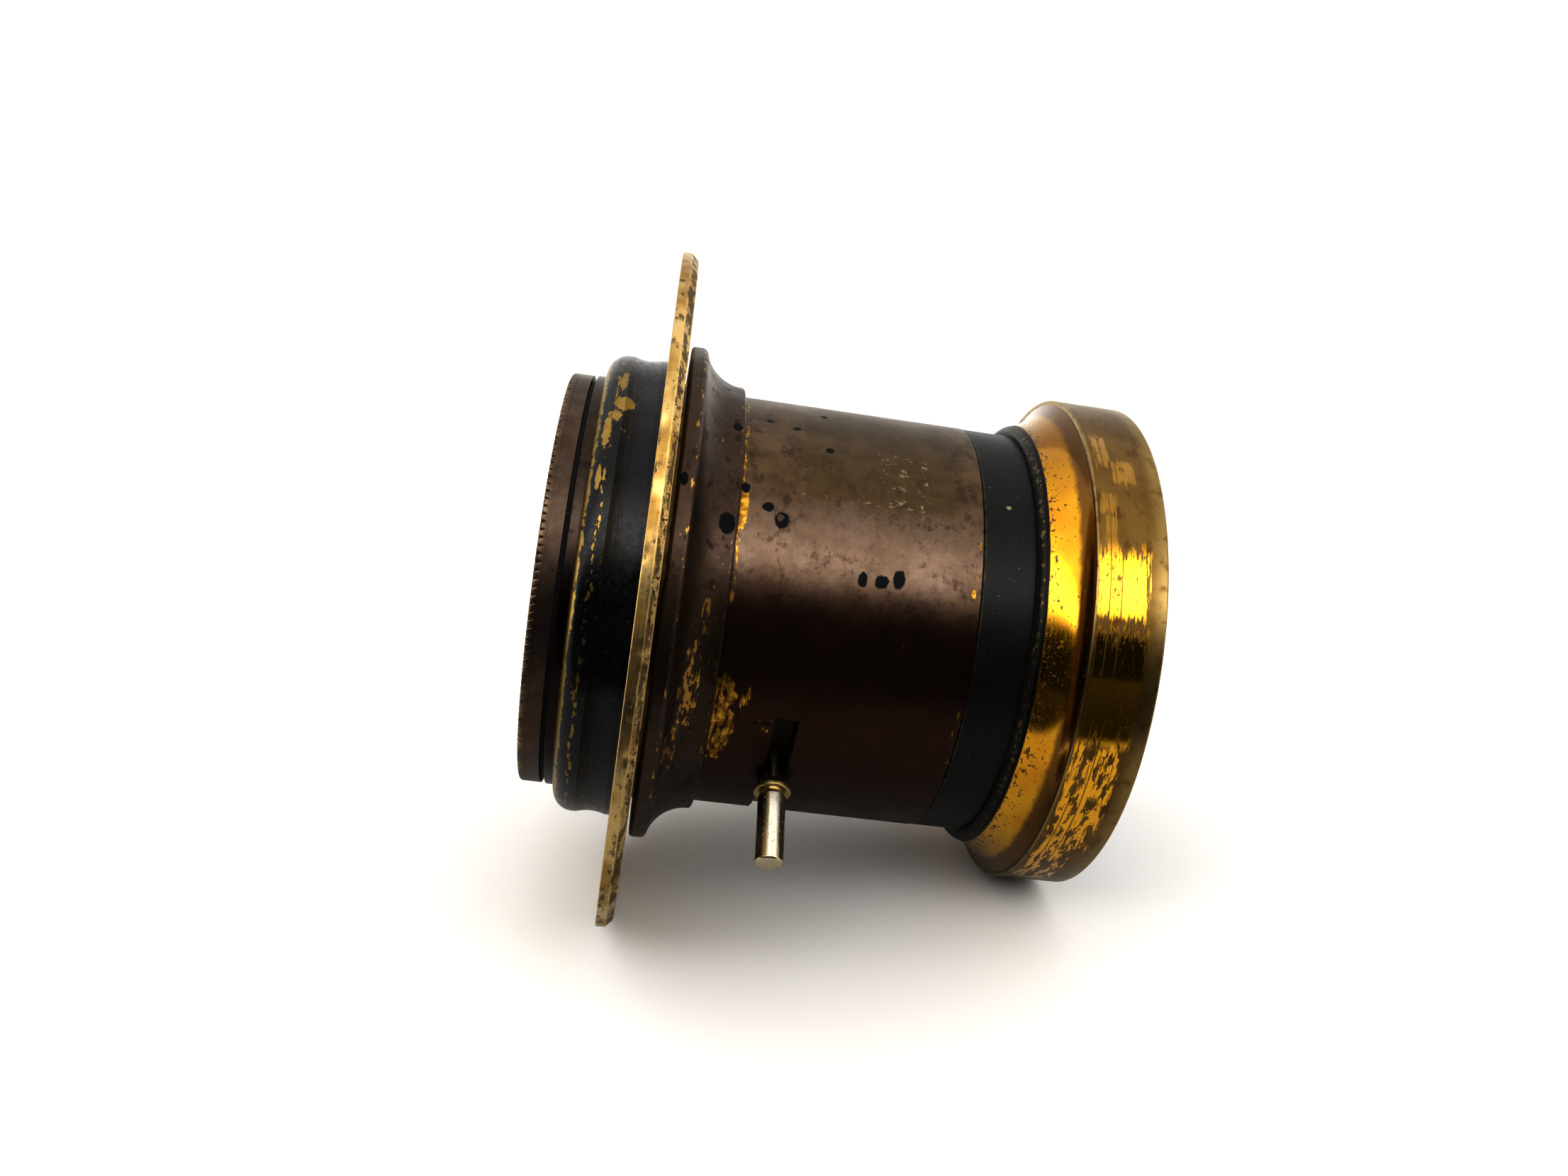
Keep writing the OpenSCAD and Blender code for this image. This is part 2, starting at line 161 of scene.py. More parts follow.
def rounded(points, size=0.12 * MM, steps=3):
    """The outline with a small curve in place of each sharp corner."""
    sharp, tightest, share = math.radians(14), 2.4, 0.42
    result = []
    for before, corner, after in zip(points[-1:] + points[:-1], points, points[1:] + points[:1]):
        corner = Vector(corner)
        coming, going = corner - Vector(before), Vector(after) - corner
        turn = coming.angle(going)
        if turn < sharp:
            result.append(tuple(corner))
            continue
        reach = size * math.tan(min(turn, tightest) / 2)
        reach = min(reach, share * coming.length, share * going.length)
        start, end = corner - coming.normalized() * reach, corner + going.normalized() * reach
        for k in range(steps + 1):
            t = k / steps
            result.append(tuple(start * (1 - t) ** 2 + corner * 2 * t * (1 - t) + end * t ** 2))
    return result


def solid(name, vertices, faces, weld=None):
    """A closed mesh with its faces turned outwards. Points closer together than weld are merged."""
    mesh = bpy.data.meshes.new(name)
    mesh.from_pydata(vertices, [], faces)
    work = bmesh.new()
    work.from_mesh(mesh)
    if weld:
        bmesh.ops.remove_doubles(work, verts=work.verts, dist=weld)
    bmesh.ops.recalc_face_normals(work, faces=work.faces)
    work.to_mesh(mesh)
    work.free()
    return mesh


def revolved(name, points, segments=288, shape=None, place=None):
    """A mesh turned from a closed outline. shape may move each point, and place moves the whole."""
    vertices = []
    for k in range(segments):
        angle = math.tau * k / segments
        for x, r in points:
            if shape:
                x, r = shape(x, r, math.degrees(angle))
            vertices.append((x, r * math.cos(angle), r * math.sin(angle)))
    count = len(points)
    faces = []
    for k in range(segments):
        here, there = k * count, (k + 1) % segments * count
        for j in range(count):
            onward = (j + 1) % count
            if max(points[j][1], points[onward][1]) > SAME_POINT:
                faces.append((here + j, here + onward, there + onward, there + j))
    mesh = solid(name, vertices, faces, weld=0.0002 * MM)
    if place:
        mesh.transform(place)
    return mesh


def sector(x0, x1, r0, r1, from_angle, to_angle, steps=48):
    """A closed block between two places on the axis, two radii and two angles."""
    vertices, faces = [], []
    for k in range(steps + 1):
        angle = math.radians(from_angle + (to_angle - from_angle) * k / steps)
        for x, r in ((x0, r0), (x1, r0), (x1, r1), (x0, r1)):
            vertices.append((x, r * math.cos(angle), r * math.sin(angle)))
    for k in range(steps):
        for j in range(4):
            onward = (j + 1) % 4
            faces.append((4 * k + j, 4 * k + onward, 4 * k + 4 + onward, 4 * k + 4 + j))
    faces += [(3, 2, 1, 0), tuple(4 * steps + j for j in range(4))]
    return solid("sector", vertices, faces)


def in_scene(name, data):
    """A new object in the scene."""
    thing = bpy.data.objects.new(name, data)
    bpy.context.scene.collection.objects.link(thing)
    return thing


def cut(mesh, cutters):
    """The mesh with other closed meshes taken away."""
    body = in_scene("cutting", mesh)
    tools = [in_scene("cutter", cutter) for cutter in cutters]
    for tool in tools:
        step = body.modifiers.new("cut", "BOOLEAN")
        step.operation = "DIFFERENCE"
        step.solver = "EXACT"
        step.object = tool
    bpy.context.view_layer.update()
    result = bpy.data.meshes.new_from_object(body.evaluated_get(bpy.context.evaluated_depsgraph_get()))
    for thing in [body] + tools:
        bpy.data.objects.remove(thing)
    return result


def show(name, mesh, node, finish):
    """Puts a new piece in the scene in place of a CAD node, riding on that node's body."""
    mesh.shade_smooth()
    mesh.set_sharp_from_angle(angle=math.radians(32))
    mesh.materials.clear()
    mesh.materials.append(finish)
    piece = in_scene(name, mesh)
    crisp = piece.modifiers.new("even shading", "WEIGHTED_NORMAL")
    crisp.keep_sharp = True
    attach(piece, NODES[node]["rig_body"])
    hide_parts(node)


def repaint(node, finish):
    """Gives a finish to a CAD node that keeps its own mesh."""
    materials = NODES[node].data.materials
    materials.clear()
    materials.append(finish)


# ---------- finishes

class Graph:
    """Arithmetic in a tree of shader nodes."""

    def __init__(self, owner):
        owner.use_nodes = True
        self.tree = owner.node_tree
        self.tree.nodes.clear()

    def add(self, kind, *values, **settings):
        node = self.tree.nodes.new("ShaderNode" + kind)
        for key, value in settings.items():
            setattr(node, key, value)
        for socket, value in zip(node.inputs, values):
            self.put(socket, value)
        return node

    def put(self, socket, value):
        if isinstance(value, bpy.types.NodeSocket):
            self.tree.links.new(value, socket)
        else:
            socket.default_value = value

    def maths(self, operation, *values):
        return self.add("Math", *values, operation=operation).outputs[0]

    def fold(self, operation, values):
        result = values[0]
        for value in values[1:]:
            result = self.maths(operation, result, value)
        return result

    def plus(self, *values):
        return self.fold("ADD", values)

    def times(self, *values):
        return self.fold("MULTIPLY", values)

    def most(self, *values):
        return self.fold("MAXIMUM", values)

    def around(self, y, z):
        """The angle about the axis, in degrees from 0 to 360."""
        return self.maths("FLOORED_MODULO", self.maths("DEGREES", self.maths("ARCTAN2", z, y)), 360)

    def rise(self, value, low, high):
        """A smooth step from 0 at low to 1 at high. With high under low it falls."""
        node = self.add("MapRange", value, low, high, 0, 1, interpolation_type="SMOOTHSTEP")
        return node.outputs[0]

    def scale(self, value, low, high, to_low, to_high):
        return self.add("MapRange", value, low, high, to_low, to_high).outputs[0]

    def band(self, value, low, high, soft):
        """1 between low and high and 0 elsewhere, with edges soft to either side."""
        start = self.rise(value, low - soft, low + soft)
        return self.times(start, self.rise(value, high + soft, high - soft))


class Finish(Graph):
    """A material being built. Its lengths are millimetres and its angles are degrees about the axis."""

    def __init__(self, name):
        self.material = bpy.data.materials.new(name)
        super().__init__(self.material)
        self.surface = self.add("BsdfPrincipled")
        self.add("OutputMaterial", self.surface.outputs["BSDF"])
        place = self.add("TexCoord").outputs["Object"]
        self.point = self.add("VectorMath", place, (1 / MM,) * 3, operation="MULTIPLY").outputs[0]
        self.x, y, z = self.add("SeparateXYZ", self.point).outputs
        self.radius = self.maths("SQRT", self.plus(self.times(y, y), self.times(z, z)))
        self.angle = self.around(y, z)
        along_turn = self.times(self.angle, 0.01)
        self.lathe = self.add("CombineXYZ", self.x, self.radius, along_turn).outputs[0]

    def along(self, low, high, soft):
        return self.band(self.x, low, high, soft)

    def forwards(self, low, high):
        return self.rise(self.x, low, high)

    def outwards(self, low, high):
        return self.rise(self.radius, low, high)

    def noise(self, scale, stretch=(1, 1, 1), detail=5, rough=0.55, seed=0, where=None):
        """Noise from 0 to 1. Features are about 1 / scale millimetres across, and stretch shrinks them."""
        where = where or self.point
        moved = self.add("VectorMath", where, stretch, (seed,) * 3, operation="MULTIPLY_ADD")
        node = self.add("TexNoise", moved.outputs[0])
        node.inputs["Scale"].default_value = scale
        node.inputs["Detail"].default_value = detail
        node.inputs["Roughness"].default_value = rough
        return node.outputs[0]

    def patches(self, low, high, *noise, **settings):
        """Noise made into patches: 0 where it is below low and 1 where it is above high."""
        return self.rise(self.noise(*noise, **settings), low, high)

    def streaks(self, scale, length=12, detail=3, seed=0, rough=0.5):
        """Noise drawn out around the axis, as polishing leaves it."""
        return self.noise(scale, (1, 1 / length, 1 / length), detail, rough, seed)

    def turning(self, scale):
        """Fine rings left by the lathe, on flat faces too."""
        return self.noise(scale, (1, 1, 0.05), detail=2, rough=0.6, where=self.lathe)

    def specks(self, scale, share, seed=0):
        """Small scattered marks. share is about how much of the surface they take."""
        return self.patches(0.74 - share, 0.77 - share, scale, detail=2, rough=0.6, seed=seed)

    def spot(self, x, angle, size_x, size_angle, ragged=0.0, soft=0.12, grain=1.2):
        """A patch about a place, with an edge made ragged by noise."""
        dx = self.times(self.plus(self.x, -x), 1 / size_x)
        da = self.times(self.plus(self.angle, -angle), 1 / size_angle)
        far = self.maths("SQRT", self.plus(self.times(dx, dx), self.times(da, da)))
        if ragged:
            wander = self.plus(self.noise(grain, seed=x + angle), -0.5)
            far = self.plus(far, self.times(wander, ragged * 2))
        return self.rise(far, 1 + soft, 1 - soft)

    def spots(self, *places):
        """Several patches, each as (x, angle, half length, half angle, raggedness)."""
        return self.most(*(self.spot(*place) for place in places))

    def mix(self, share, a, b):
        """A colour that goes from a to b."""
        node = self.add("Mix", share, data_type="RGBA")
        self.put(node.inputs[6], self.colour(a))
        self.put(node.inputs[7], self.colour(b))
        return node.outputs[2]

    def tint(self, colour, tone, where, strength):
        """The colour with another laid over it."""
        return self.mix(self.times(where, strength), colour, tone)

    def blend(self, share, a, b):
        """A number that goes from a to b."""
        node = self.add("Mix", share)
        self.put(node.inputs[2], a)
        self.put(node.inputs[3], b)
        return node.outputs[0]

    @staticmethod
    def colour(value):
        return (*value, 1) if isinstance(value, tuple) else value

    def done(self, colour, metallic, roughness, height=None, depth=0, **more):
        """The material. Where height is 1 it stands depth millimetres proud. more names other sockets."""
        settings = {"Base Color": self.colour(colour), "Metallic": metallic, "Roughness": roughness}
        for name, value in more.items():
            settings[name.replace("_", " ").title().replace("Ior", "IOR")] = value
        if height:
            bump = self.add("Bump")
            bump.inputs["Distance"].default_value = depth * MM
            self.put(bump.inputs["Height"], height)
            settings["Normal"] = bump.outputs[0]
        for name, value in settings.items():
            self.put(self.surface.inputs[name], value)
        return self.material


GOLD = (0.78, 0.49, 0.13)
PALE_BRASS = (0.54, 0.42, 0.215)
OLD_BRASS = (0.27, 0.175, 0.06)
DEEP_BROWN = (0.035, 0.02, 0.012)
SOOT = (0.01, 0.01, 0.011)
INK = (0.004, 0.004, 0.005)


def worn_brass():
    """The flange plate: bare brass, rubbed bright at its edges and pitted on its bevel."""
    f = Finish("worn_brass")
    rim = f.outwards(PLATE_R - 1.3, PLATE_R - 1.0)
    bevel = f.times(f.forwards(PLATE_FRONT - 1.05, PLATE_FRONT - 0.85), rim)
    dull = f.patches(0.42, 0.66, 0.13, detail=6, seed=3)
    colour = f.mix(dull, PALE_BRASS, OLD_BRASS)
    colour = f.tint(colour, GOLD, f.streaks(2.4, 14, seed=5), 0.35)
    colour = f.tint(colour, DEEP_BROWN, f.rise(f.turning(5.5), 0.55, 0.75), 0.35)
    grime = f.plus(f.noise(0.9, (1, 0.45, 0.45), 5, seed=9), f.times(bevel, 0.13))
    pits = f.plus(f.noise(2.6, detail=3, seed=21), f.times(bevel, 0.1))
    pits = f.rise(pits, 0.68, 0.73)
    dirt = f.most(f.times(f.rise(grime, 0.57, 0.66), 0.75), pits)
    bevel_edge = f.along(PLATE_FRONT - 1.12, PLATE_FRONT - 0.9, 0.06)
    rear_edge = f.along(PLATE_REAR - 0.02, PLATE_REAR + 0.1, 0.08)
    front_edge = f.forwards(PLATE_FRONT - 0.2, PLATE_FRONT - 0.04)
    edges = f.times(rim, f.most(bevel_edge, rear_edge, front_edge))
    rubbed = f.times(edges, f.patches(0.35, 0.5, 0.5, detail=4, seed=31))
    colour = f.mix(dirt, colour, DEEP_BROWN)
    colour = f.tint(colour, (0.66, 0.47, 0.2), rubbed, 0.7)
    rough = f.scale(f.plus(dull, f.streaks(4, 10, seed=2)), 0.2, 1.6, 0.24, 0.5)
    waves = f.times(f.noise(0.8, detail=4, seed=4), 0.8)
    height = f.plus(f.times(f.turning(7), 0.25), f.plus(f.times(pits, -1), waves))
    return f.done(colour, f.blend(dirt, 1.0, 0.6), f.blend(dirt, rough, 0.6), height, 0.03)


def black_lacquer():
    """The collar: glossy black lacquer, worn to brass at its rear edge and chipped behind its band."""
    f = Finish("black_lacquer")
    wander = f.times(f.plus(f.noise(0.3, seed=8), -0.5), 1.6)
    shaded_flank = f.band(f.plus(f.x, wander), COLLAR_REAR + 2.0, COLLAR_REAR + 2.6, 0.35)
    rear = f.band(f.plus(f.x, f.times(wander, 0.25)), COLLAR_REAR - 0.3, COLLAR_REAR + 0.8, 0.25)
    ragged = f.noise(1.7, (1, 0.4, 0.4), 6, 0.65, seed=12)
    chips = f.rise(f.plus(ragged, f.most(f.times(shaded_flank, 0.15), f.times(rear, 0.27))), 0.66, 0.68)
    large_chips = f.most(
        f.spot(-5.6, 110.5, 0.5, 4.5, 0.8, grain=1.4),
        f.spots((-5.2, 120, 1.3, 2.6, 0.9), (-5.9, 124.5, 0.7, 1.6, 0.8),
                (-6.8, 129, 0.5, 5, 0.9), (-7.0, 142, 0.35, 3, 0.8)))
    outer_side = f.outwards(COLLAR_R - 2.85, COLLAR_R - 2.65)
    behind_plate = f.forwards(PLATE_REAR - 2.6, PLATE_REAR - 3.4)
    bare = f.times(f.most(chips, large_chips), outer_side, behind_plate)
    brass = f.mix(f.noise(0.9, seed=2), (0.16, 0.11, 0.032), (0.44, 0.31, 0.095))
    black = f.mix(f.patches(0.4, 0.7, 0.3, seed=3), (0.003, 0.003, 0.004), (0.006, 0.007, 0.01))
    black = f.tint(black, (0.2, 0.2, 0.18), f.specks(2.2, 0.02, 40), 0.5)
    in_cove = f.times(f.along(PLATE_REAR - 4.2, PLATE_REAR - 1.2, 0.8), 0.9)
    wrinkles = f.times(f.streaks(1.5, 9, 5, 6, 0.6), f.plus(in_cove, 0.35))
    fine = f.times(f.noise(2.2, detail=3), 0.12)
    height = f.plus(wrinkles, fine, f.times(bare, -0.7))
    gloss = f.scale(f.noise(1.3, detail=3, seed=5), 0.3, 0.7, 0.14, 0.34)
    rough = f.blend(bare, gloss, 0.34)
    return f.done(f.mix(bare, black, brass), bare, rough, height, 0.06, specular_ior_level=0.35)


def patina(f, darker):
    """The brown bronzing shared by the tube, the shoulder and the rear cell: its colour, grain and clouds."""
    clouds = f.patches(0.35, 0.66, 0.085, detail=6, rough=0.62, seed=1)
    smudge = f.patches(0.4, 0.68, 0.35, detail=6, rough=0.68, seed=14)
    mottle = f.patches(0.4, 0.72, 1.1, (1, 0.7, 0.7), 6, 0.7, seed=27)
    grain = f.streaks(7, 10, 4, seed=3, rough=0.65)
    colour = f.mix(clouds, (0.16, 0.112, 0.082), (0.14, 0.09, 0.052))
    colour = f.tint(colour, (0.055, 0.034, 0.021), smudge, 0.6)
    colour = f.tint(colour, (0.045, 0.026, 0.017), mottle, 0.35)
    colour = f.tint(colour, (0.19, 0.125, 0.085), f.rise(grain, 0.5, 0.8), 0.28)
    colour = f.tint(colour, (0.035, 0.02, 0.014), f.rise(grain, 0.5, 0.2), 0.35)
    colour = f.tint(colour, (0.014, 0.009, 0.007), f.specks(1.7, 0.035, 50), 0.8)
    colour = f.mix(darker, colour, (0.014, 0.008, 0.006))
    return colour, grain, clouds


def tube_tints(f, colour):
    """The tube's sides: olive on top, a painted grey-brown highlight lower, and red-brown underneath that is
    partly the patina's own colour and partly painted shade.
    """
    # Painted shade: from 161 degrees round the underside the colour goes to a dark red-brown, partly the
    # patina's own colour.
    red = f.mix(f.noise(0.5, detail=6, rough=0.7, seed=71), (0.052, 0.018, 0.008), (0.024, 0.01, 0.006))
    colour = f.tint(colour, red, f.band(f.angle, 161, 330, 7), 0.92)
    olive_clouds = f.patches(0.4, 0.62, 0.28, detail=6, rough=0.65, seed=36)
    olive = f.mix(olive_clouds, (0.125, 0.084, 0.042), (0.066, 0.043, 0.022))
    colour = f.tint(colour, olive, f.rise(f.angle, 141, 130), 0.6)
    # Painted highlight: a cooler grey-brown band from 138 to 156 degrees, where the window's reflection lies.
    colour = f.tint(colour, (0.165, 0.12, 0.092), f.band(f.angle, 138, 156, 4), 0.35)
    blotch = f.patches(0.53, 0.64, 0.45, (1, 0.8, 0.8), 6, 0.72, seed=83)
    return f.mix(f.times(blotch, 0.6), colour, (0.03, 0.017, 0.01))


def tube_wear(f):
    """Where the tube's bronzing has gone: at both seams, low behind the slot, and about the slot."""
    ragged = f.noise(1.1, (1.6, 0.4, 0.4), 6, 0.65, seed=17)
    rear_seam = f.along(SHOULDER_FRONT - 0.1, SHOULDER_FRONT + 0.8, 0.35)
    rear_seam = f.times(rear_seam, f.band(f.angle, 92, 168, 8))
    front_seam = f.along(TUBE_FRONT - 1.1, TUBE_FRONT + 0.1, 0.5)
    front_seam = f.times(front_seam, f.most(f.band(f.angle, 138, 164, 6), f.band(f.angle, 186, 210, 6)))
    patch = f.most(f.spot(13.0, 197, 2.1, 14, 0.3), f.times(f.spot(16.0, 190, 0.8, 5, 0.5), 0.7))
    about_slot = f.spot(19.4, 196.5, 1.6, 2.2, 0.3)
    chance = f.most(f.times(rear_seam, 0.22), f.times(front_seam, 0.16), f.times(patch, 0.28),
                    f.times(about_slot, 0.1364))
    gold = f.rise(f.plus(ragged, chance), 0.71, 0.79)
    bright = f.spots((12.4, 141, 0.6, 6.5, 0.6), (44.3, 156, 0.3, 1.2, 0.6))
    return f.times(f.most(gold, bright), f.outwards(TUBE_R - 0.15, TUBE_R - 0.05))


def label_trace(f, colour):
    """The faint patch and line that a lost label left on the tube, and the pale flecks beside it."""
    uneven = f.plus(f.angle, f.times(f.noise(0.3, detail=4), 3))
    ghost = f.times(f.along(20.4, 41, 0.5), f.band(uneven, 95, 137.5, 0.7))
    line = f.times(f.band(uneven, 136.7, 137.4, 0.25), f.along(20, 37, 0.5))
    beside = f.times(f.along(31, 38, 0.8), f.band(f.angle, 117, 138, 1))
    flecks = f.times(f.patches(0.6, 0.64, 1.1, rough=0.6, seed=61), beside)
    flecks = f.most(flecks, f.times(line, f.patches(0.56, 0.66, 0.8, detail=4, seed=5)))
    return f.mix(f.times(ghost, 0.5), colour, (0.075, 0.052, 0.024)), flecks


def bronzed_tube():
    """The main tube: bronzed, with golden wear at both seams and about the slot, and dark stains."""
    f = Finish("bronzed_tube")
    colour, grain, clouds = patina(f, 0.05)
    colour = tube_tints(f, colour)
    colour, flecks = label_trace(f, colour)
    gold = tube_wear(f)
    hollow = f.maths("SUBTRACT", 1, f.spot(17.4, 142.9, 0.45, 0.9, 0.5))
    ring = f.times(f.spot(17.6, 143.6, 1.0, 2.1, 0.35), hollow)
    stains = f.most(ring, f.spots(
        (12.4, 135.6, 0.6, 1.6, 0.45), (15.6, 140.4, 0.8, 1.3, 0.4),
        (29.1, 156.0, 0.65, 1.9, 0.4), (31.7, 156.0, 0.95, 1.6, 0.6), (34.0, 154.8, 0.8, 2.4, 0.4),
        (15.3, 108.5, 0.5, 0.9, 0.3), (19.2, 110.8, 0.6, 0.9, 0.3), (23.8, 119, 0.6, 1.1, 0.3),
        (23.4, 100, 0.6, 1.2, 0.3)))
    gold_clouds = f.patches(0.4, 0.65, 0.9, detail=6, rough=0.65)
    colour = f.mix(gold, colour, f.mix(gold_clouds, (0.2, 0.105, 0.018), (0.62, 0.36, 0.055)))
    colour = f.tint(colour, (0.27, 0.225, 0.12), flecks, 0.6)
    colour = f.mix(stains, colour, INK)
    inside = f.outwards(TUBE_R - 1.4, TUBE_R - 1.6)
    seams = f.most(f.forwards(TUBE_FRONT - 0.08, TUBE_FRONT),
                   f.forwards(SHOULDER_FRONT + 0.28, SHOULDER_FRONT + 0.16))
    colour = f.mix(f.most(inside, f.times(seams, 0.6)), colour, SOOT)
    wall = f.band(f.radius, TUBE_R - 0.7, TUBE_R - 0.07, 0.03)
    slot_wall = f.times(wall, f.along(PIN_X - 1.8, PIN_X + 1.8, 0.1))
    colour = f.tint(colour, (0.45, 0.34, 0.18), slot_wall, 0.8)
    satin = f.scale(f.plus(grain, clouds), 0.3, 1.6, 0.26, 0.38)
    rough = f.blend(f.most(stains, flecks), f.blend(gold, satin, 0.3), 0.42)
    surface = f.plus(f.times(grain, 0.25), f.times(f.noise(1.6, detail=4, seed=7), 0.35))
    marks = f.plus(f.times(stains, 0.9), f.plus(f.times(gold, -0.3), f.times(flecks, 0.6)))
    metal = f.blend(f.most(stains, inside, flecks), f.blend(gold, 0.88, 1.0), 0.1)
    shine = f.blend(stains, 0.5, 0.12)
    return f.done(colour, metal, rough, f.plus(surface, marks), 0.03, specular_ior_level=shine)


def bronzed_shoulder():
    """The shoulder ring: bronzed, with a pale rubbed rim, dark blots and a golden patch low on its flare."""
    f = Finish("bronzed_shoulder")
    colour, grain, clouds = patina(f, 0.6)
    blots = f.patches(0.6, 0.66, 0.55, (1, 0.6, 0.6), 5, 0.6, seed=33)
    stains = f.spots((10.3, 147.2, 1.1, 2.6, 0.25), (10.6, 118, 0.7, 1.5, 0.3), (3.9, 142, 0.55, 1.5, 0.15))
    ragged = f.noise(1.3, (1.4, 0.4, 0.4), 6, 0.65, seed=19)
    patch = f.spots((8.1, 186, 1.5, 11, 0.35), (6.6, 203, 1.0, 8, 0.5), (9.0, 171, 0.7, 6, 0.5))
    edges = f.most(f.along(SHOULDER_FRONT - 0.6, SHOULDER_FRONT - 0.2, 0.1),
                   f.along(RIM_FRONT - 0.5, RIM_FRONT - 0.1, 0.12))
    gold = f.rise(f.plus(ragged, f.most(f.times(patch, 0.15), f.times(edges, 0.09))), 0.66, 0.7)
    gold = f.times(gold, f.outwards(SHOULDER_R - 5.05, SHOULDER_R - 4.95))
    colour = f.tint(colour, DEEP_BROWN, blots, 0.75)
    rim = f.times(f.along(RIM_REAR - 0.1, RIM_FRONT, 0.1), f.outwards(SHOULDER_R - 0.6, SHOULDER_R - 0.4))
    colour = f.tint(colour, (0.1, 0.072, 0.055), rim, 0.35)
    colour = f.mix(gold, colour, f.mix(f.noise(0.9), (0.25, 0.14, 0.03), (0.6, 0.36, 0.08)))
    colour = f.mix(stains, colour, (0.004, 0.005, 0.005))
    sleeve = f.forwards(RIM_REAR + 0.15, RIM_REAR)
    colour = f.mix(sleeve, colour, (0.2, 0.13, 0.06))
    satin = f.scale(clouds, 0, 1, 0.28, 0.42)
    rough = f.blend(f.most(stains, blots), f.blend(gold, satin, 0.3), 0.55)
    height = f.plus(f.times(blots, 0.5), f.times(f.noise(1.5, detail=4), 0.35))
    height = f.plus(f.times(grain, 0.25), height)
    metal, shine = f.blend(stains, 0.88, 0.1), f.blend(stains, 0.5, 0.1)
    return f.done(colour, metal, rough, height, 0.03, specular_ior_level=shine)


def bronzed_cell():
    """The rear cell: violet-brown bronzing with a soft sheen, rubbed on its beads, and a black groove."""
    f = Finish("bronzed_cell")
    colour, grain, clouds = patina(f, 0.25)
    colour = f.mix(0.3, colour, (0.08, 0.06, 0.05))
    beads = f.times(f.forwards(CELL_REAR + 0.8, CELL_REAR + 0.2), f.outwards(CELL_R - 0.6, CELL_R - 0.1))
    worn = f.times(beads, f.patches(0.4, 0.6, 0.8, detail=4, seed=4))
    colour = f.tint(colour, (0.38, 0.27, 0.15), worn, 0.5)
    groove = f.times(f.along(CELL_REAR + 3.1, CELL_REAR + 3.67, 0.02),
                     f.outwards(CELL_R - 0.15, CELL_R - 0.3))
    colour = f.mix(groove, colour, f.mix(f.specks(2.4, 0.03, 70), SOOT, (0.25, 0.22, 0.18)))
    inner = f.most(f.outwards(CELL_R - 2.3, CELL_R - 2.7), f.forwards(CELL_REAR + 3.8, CELL_REAR + 4.1))
    colour = f.tint(colour, (0.03, 0.026, 0.022), inner, 0.85)
    rough = f.blend(groove, f.scale(f.plus(grain, clouds), 0.3, 1.6, 0.3, 0.44), 0.7)
    height = f.plus(f.times(grain, 0.3), f.times(f.noise(1.8, detail=4, seed=7), 0.3))
    return f.done(colour, f.blend(groove, 0.85, 0.2), rough, height, 0.025)


def gunmetal_tube():
    """The front tube: satin blackened brass with a faint grain and a few pale flecks."""
    f = Finish("gunmetal_tube")
    grain = f.streaks(5, 16, 3, seed=2, rough=0.6)
    clouds = f.noise(0.2, seed=9)
    colour = f.mix(clouds, (0.008, 0.009, 0.009), (0.022, 0.023, 0.021))
    colour = f.tint(colour, (0.05, 0.05, 0.046), f.rise(grain, 0.55, 0.75), 0.3)
    flecks = f.most(f.specks(1.5, 0.005, 80), f.spot(49.0, 130.6, 0.35, 0.6, 0.5))
    worn = f.times(f.along(TUBE_FRONT, TUBE_FRONT + 0.35, 0.08), f.patches(0.38, 0.6, 0.7, seed=3))
    colour = f.tint(colour, (0.2, 0.15, 0.08), worn, 0.2)
    colour = f.tint(colour, (0.3, 0.28, 0.19), flecks, 0.8)
    rough = f.scale(f.plus(grain, clouds), 0.4, 1.6, 0.3, 0.48)
    height = f.plus(f.times(grain, 0.3), f.times(flecks, 0.6))
    return f.done(colour, 0.75, rough, height, 0.025)


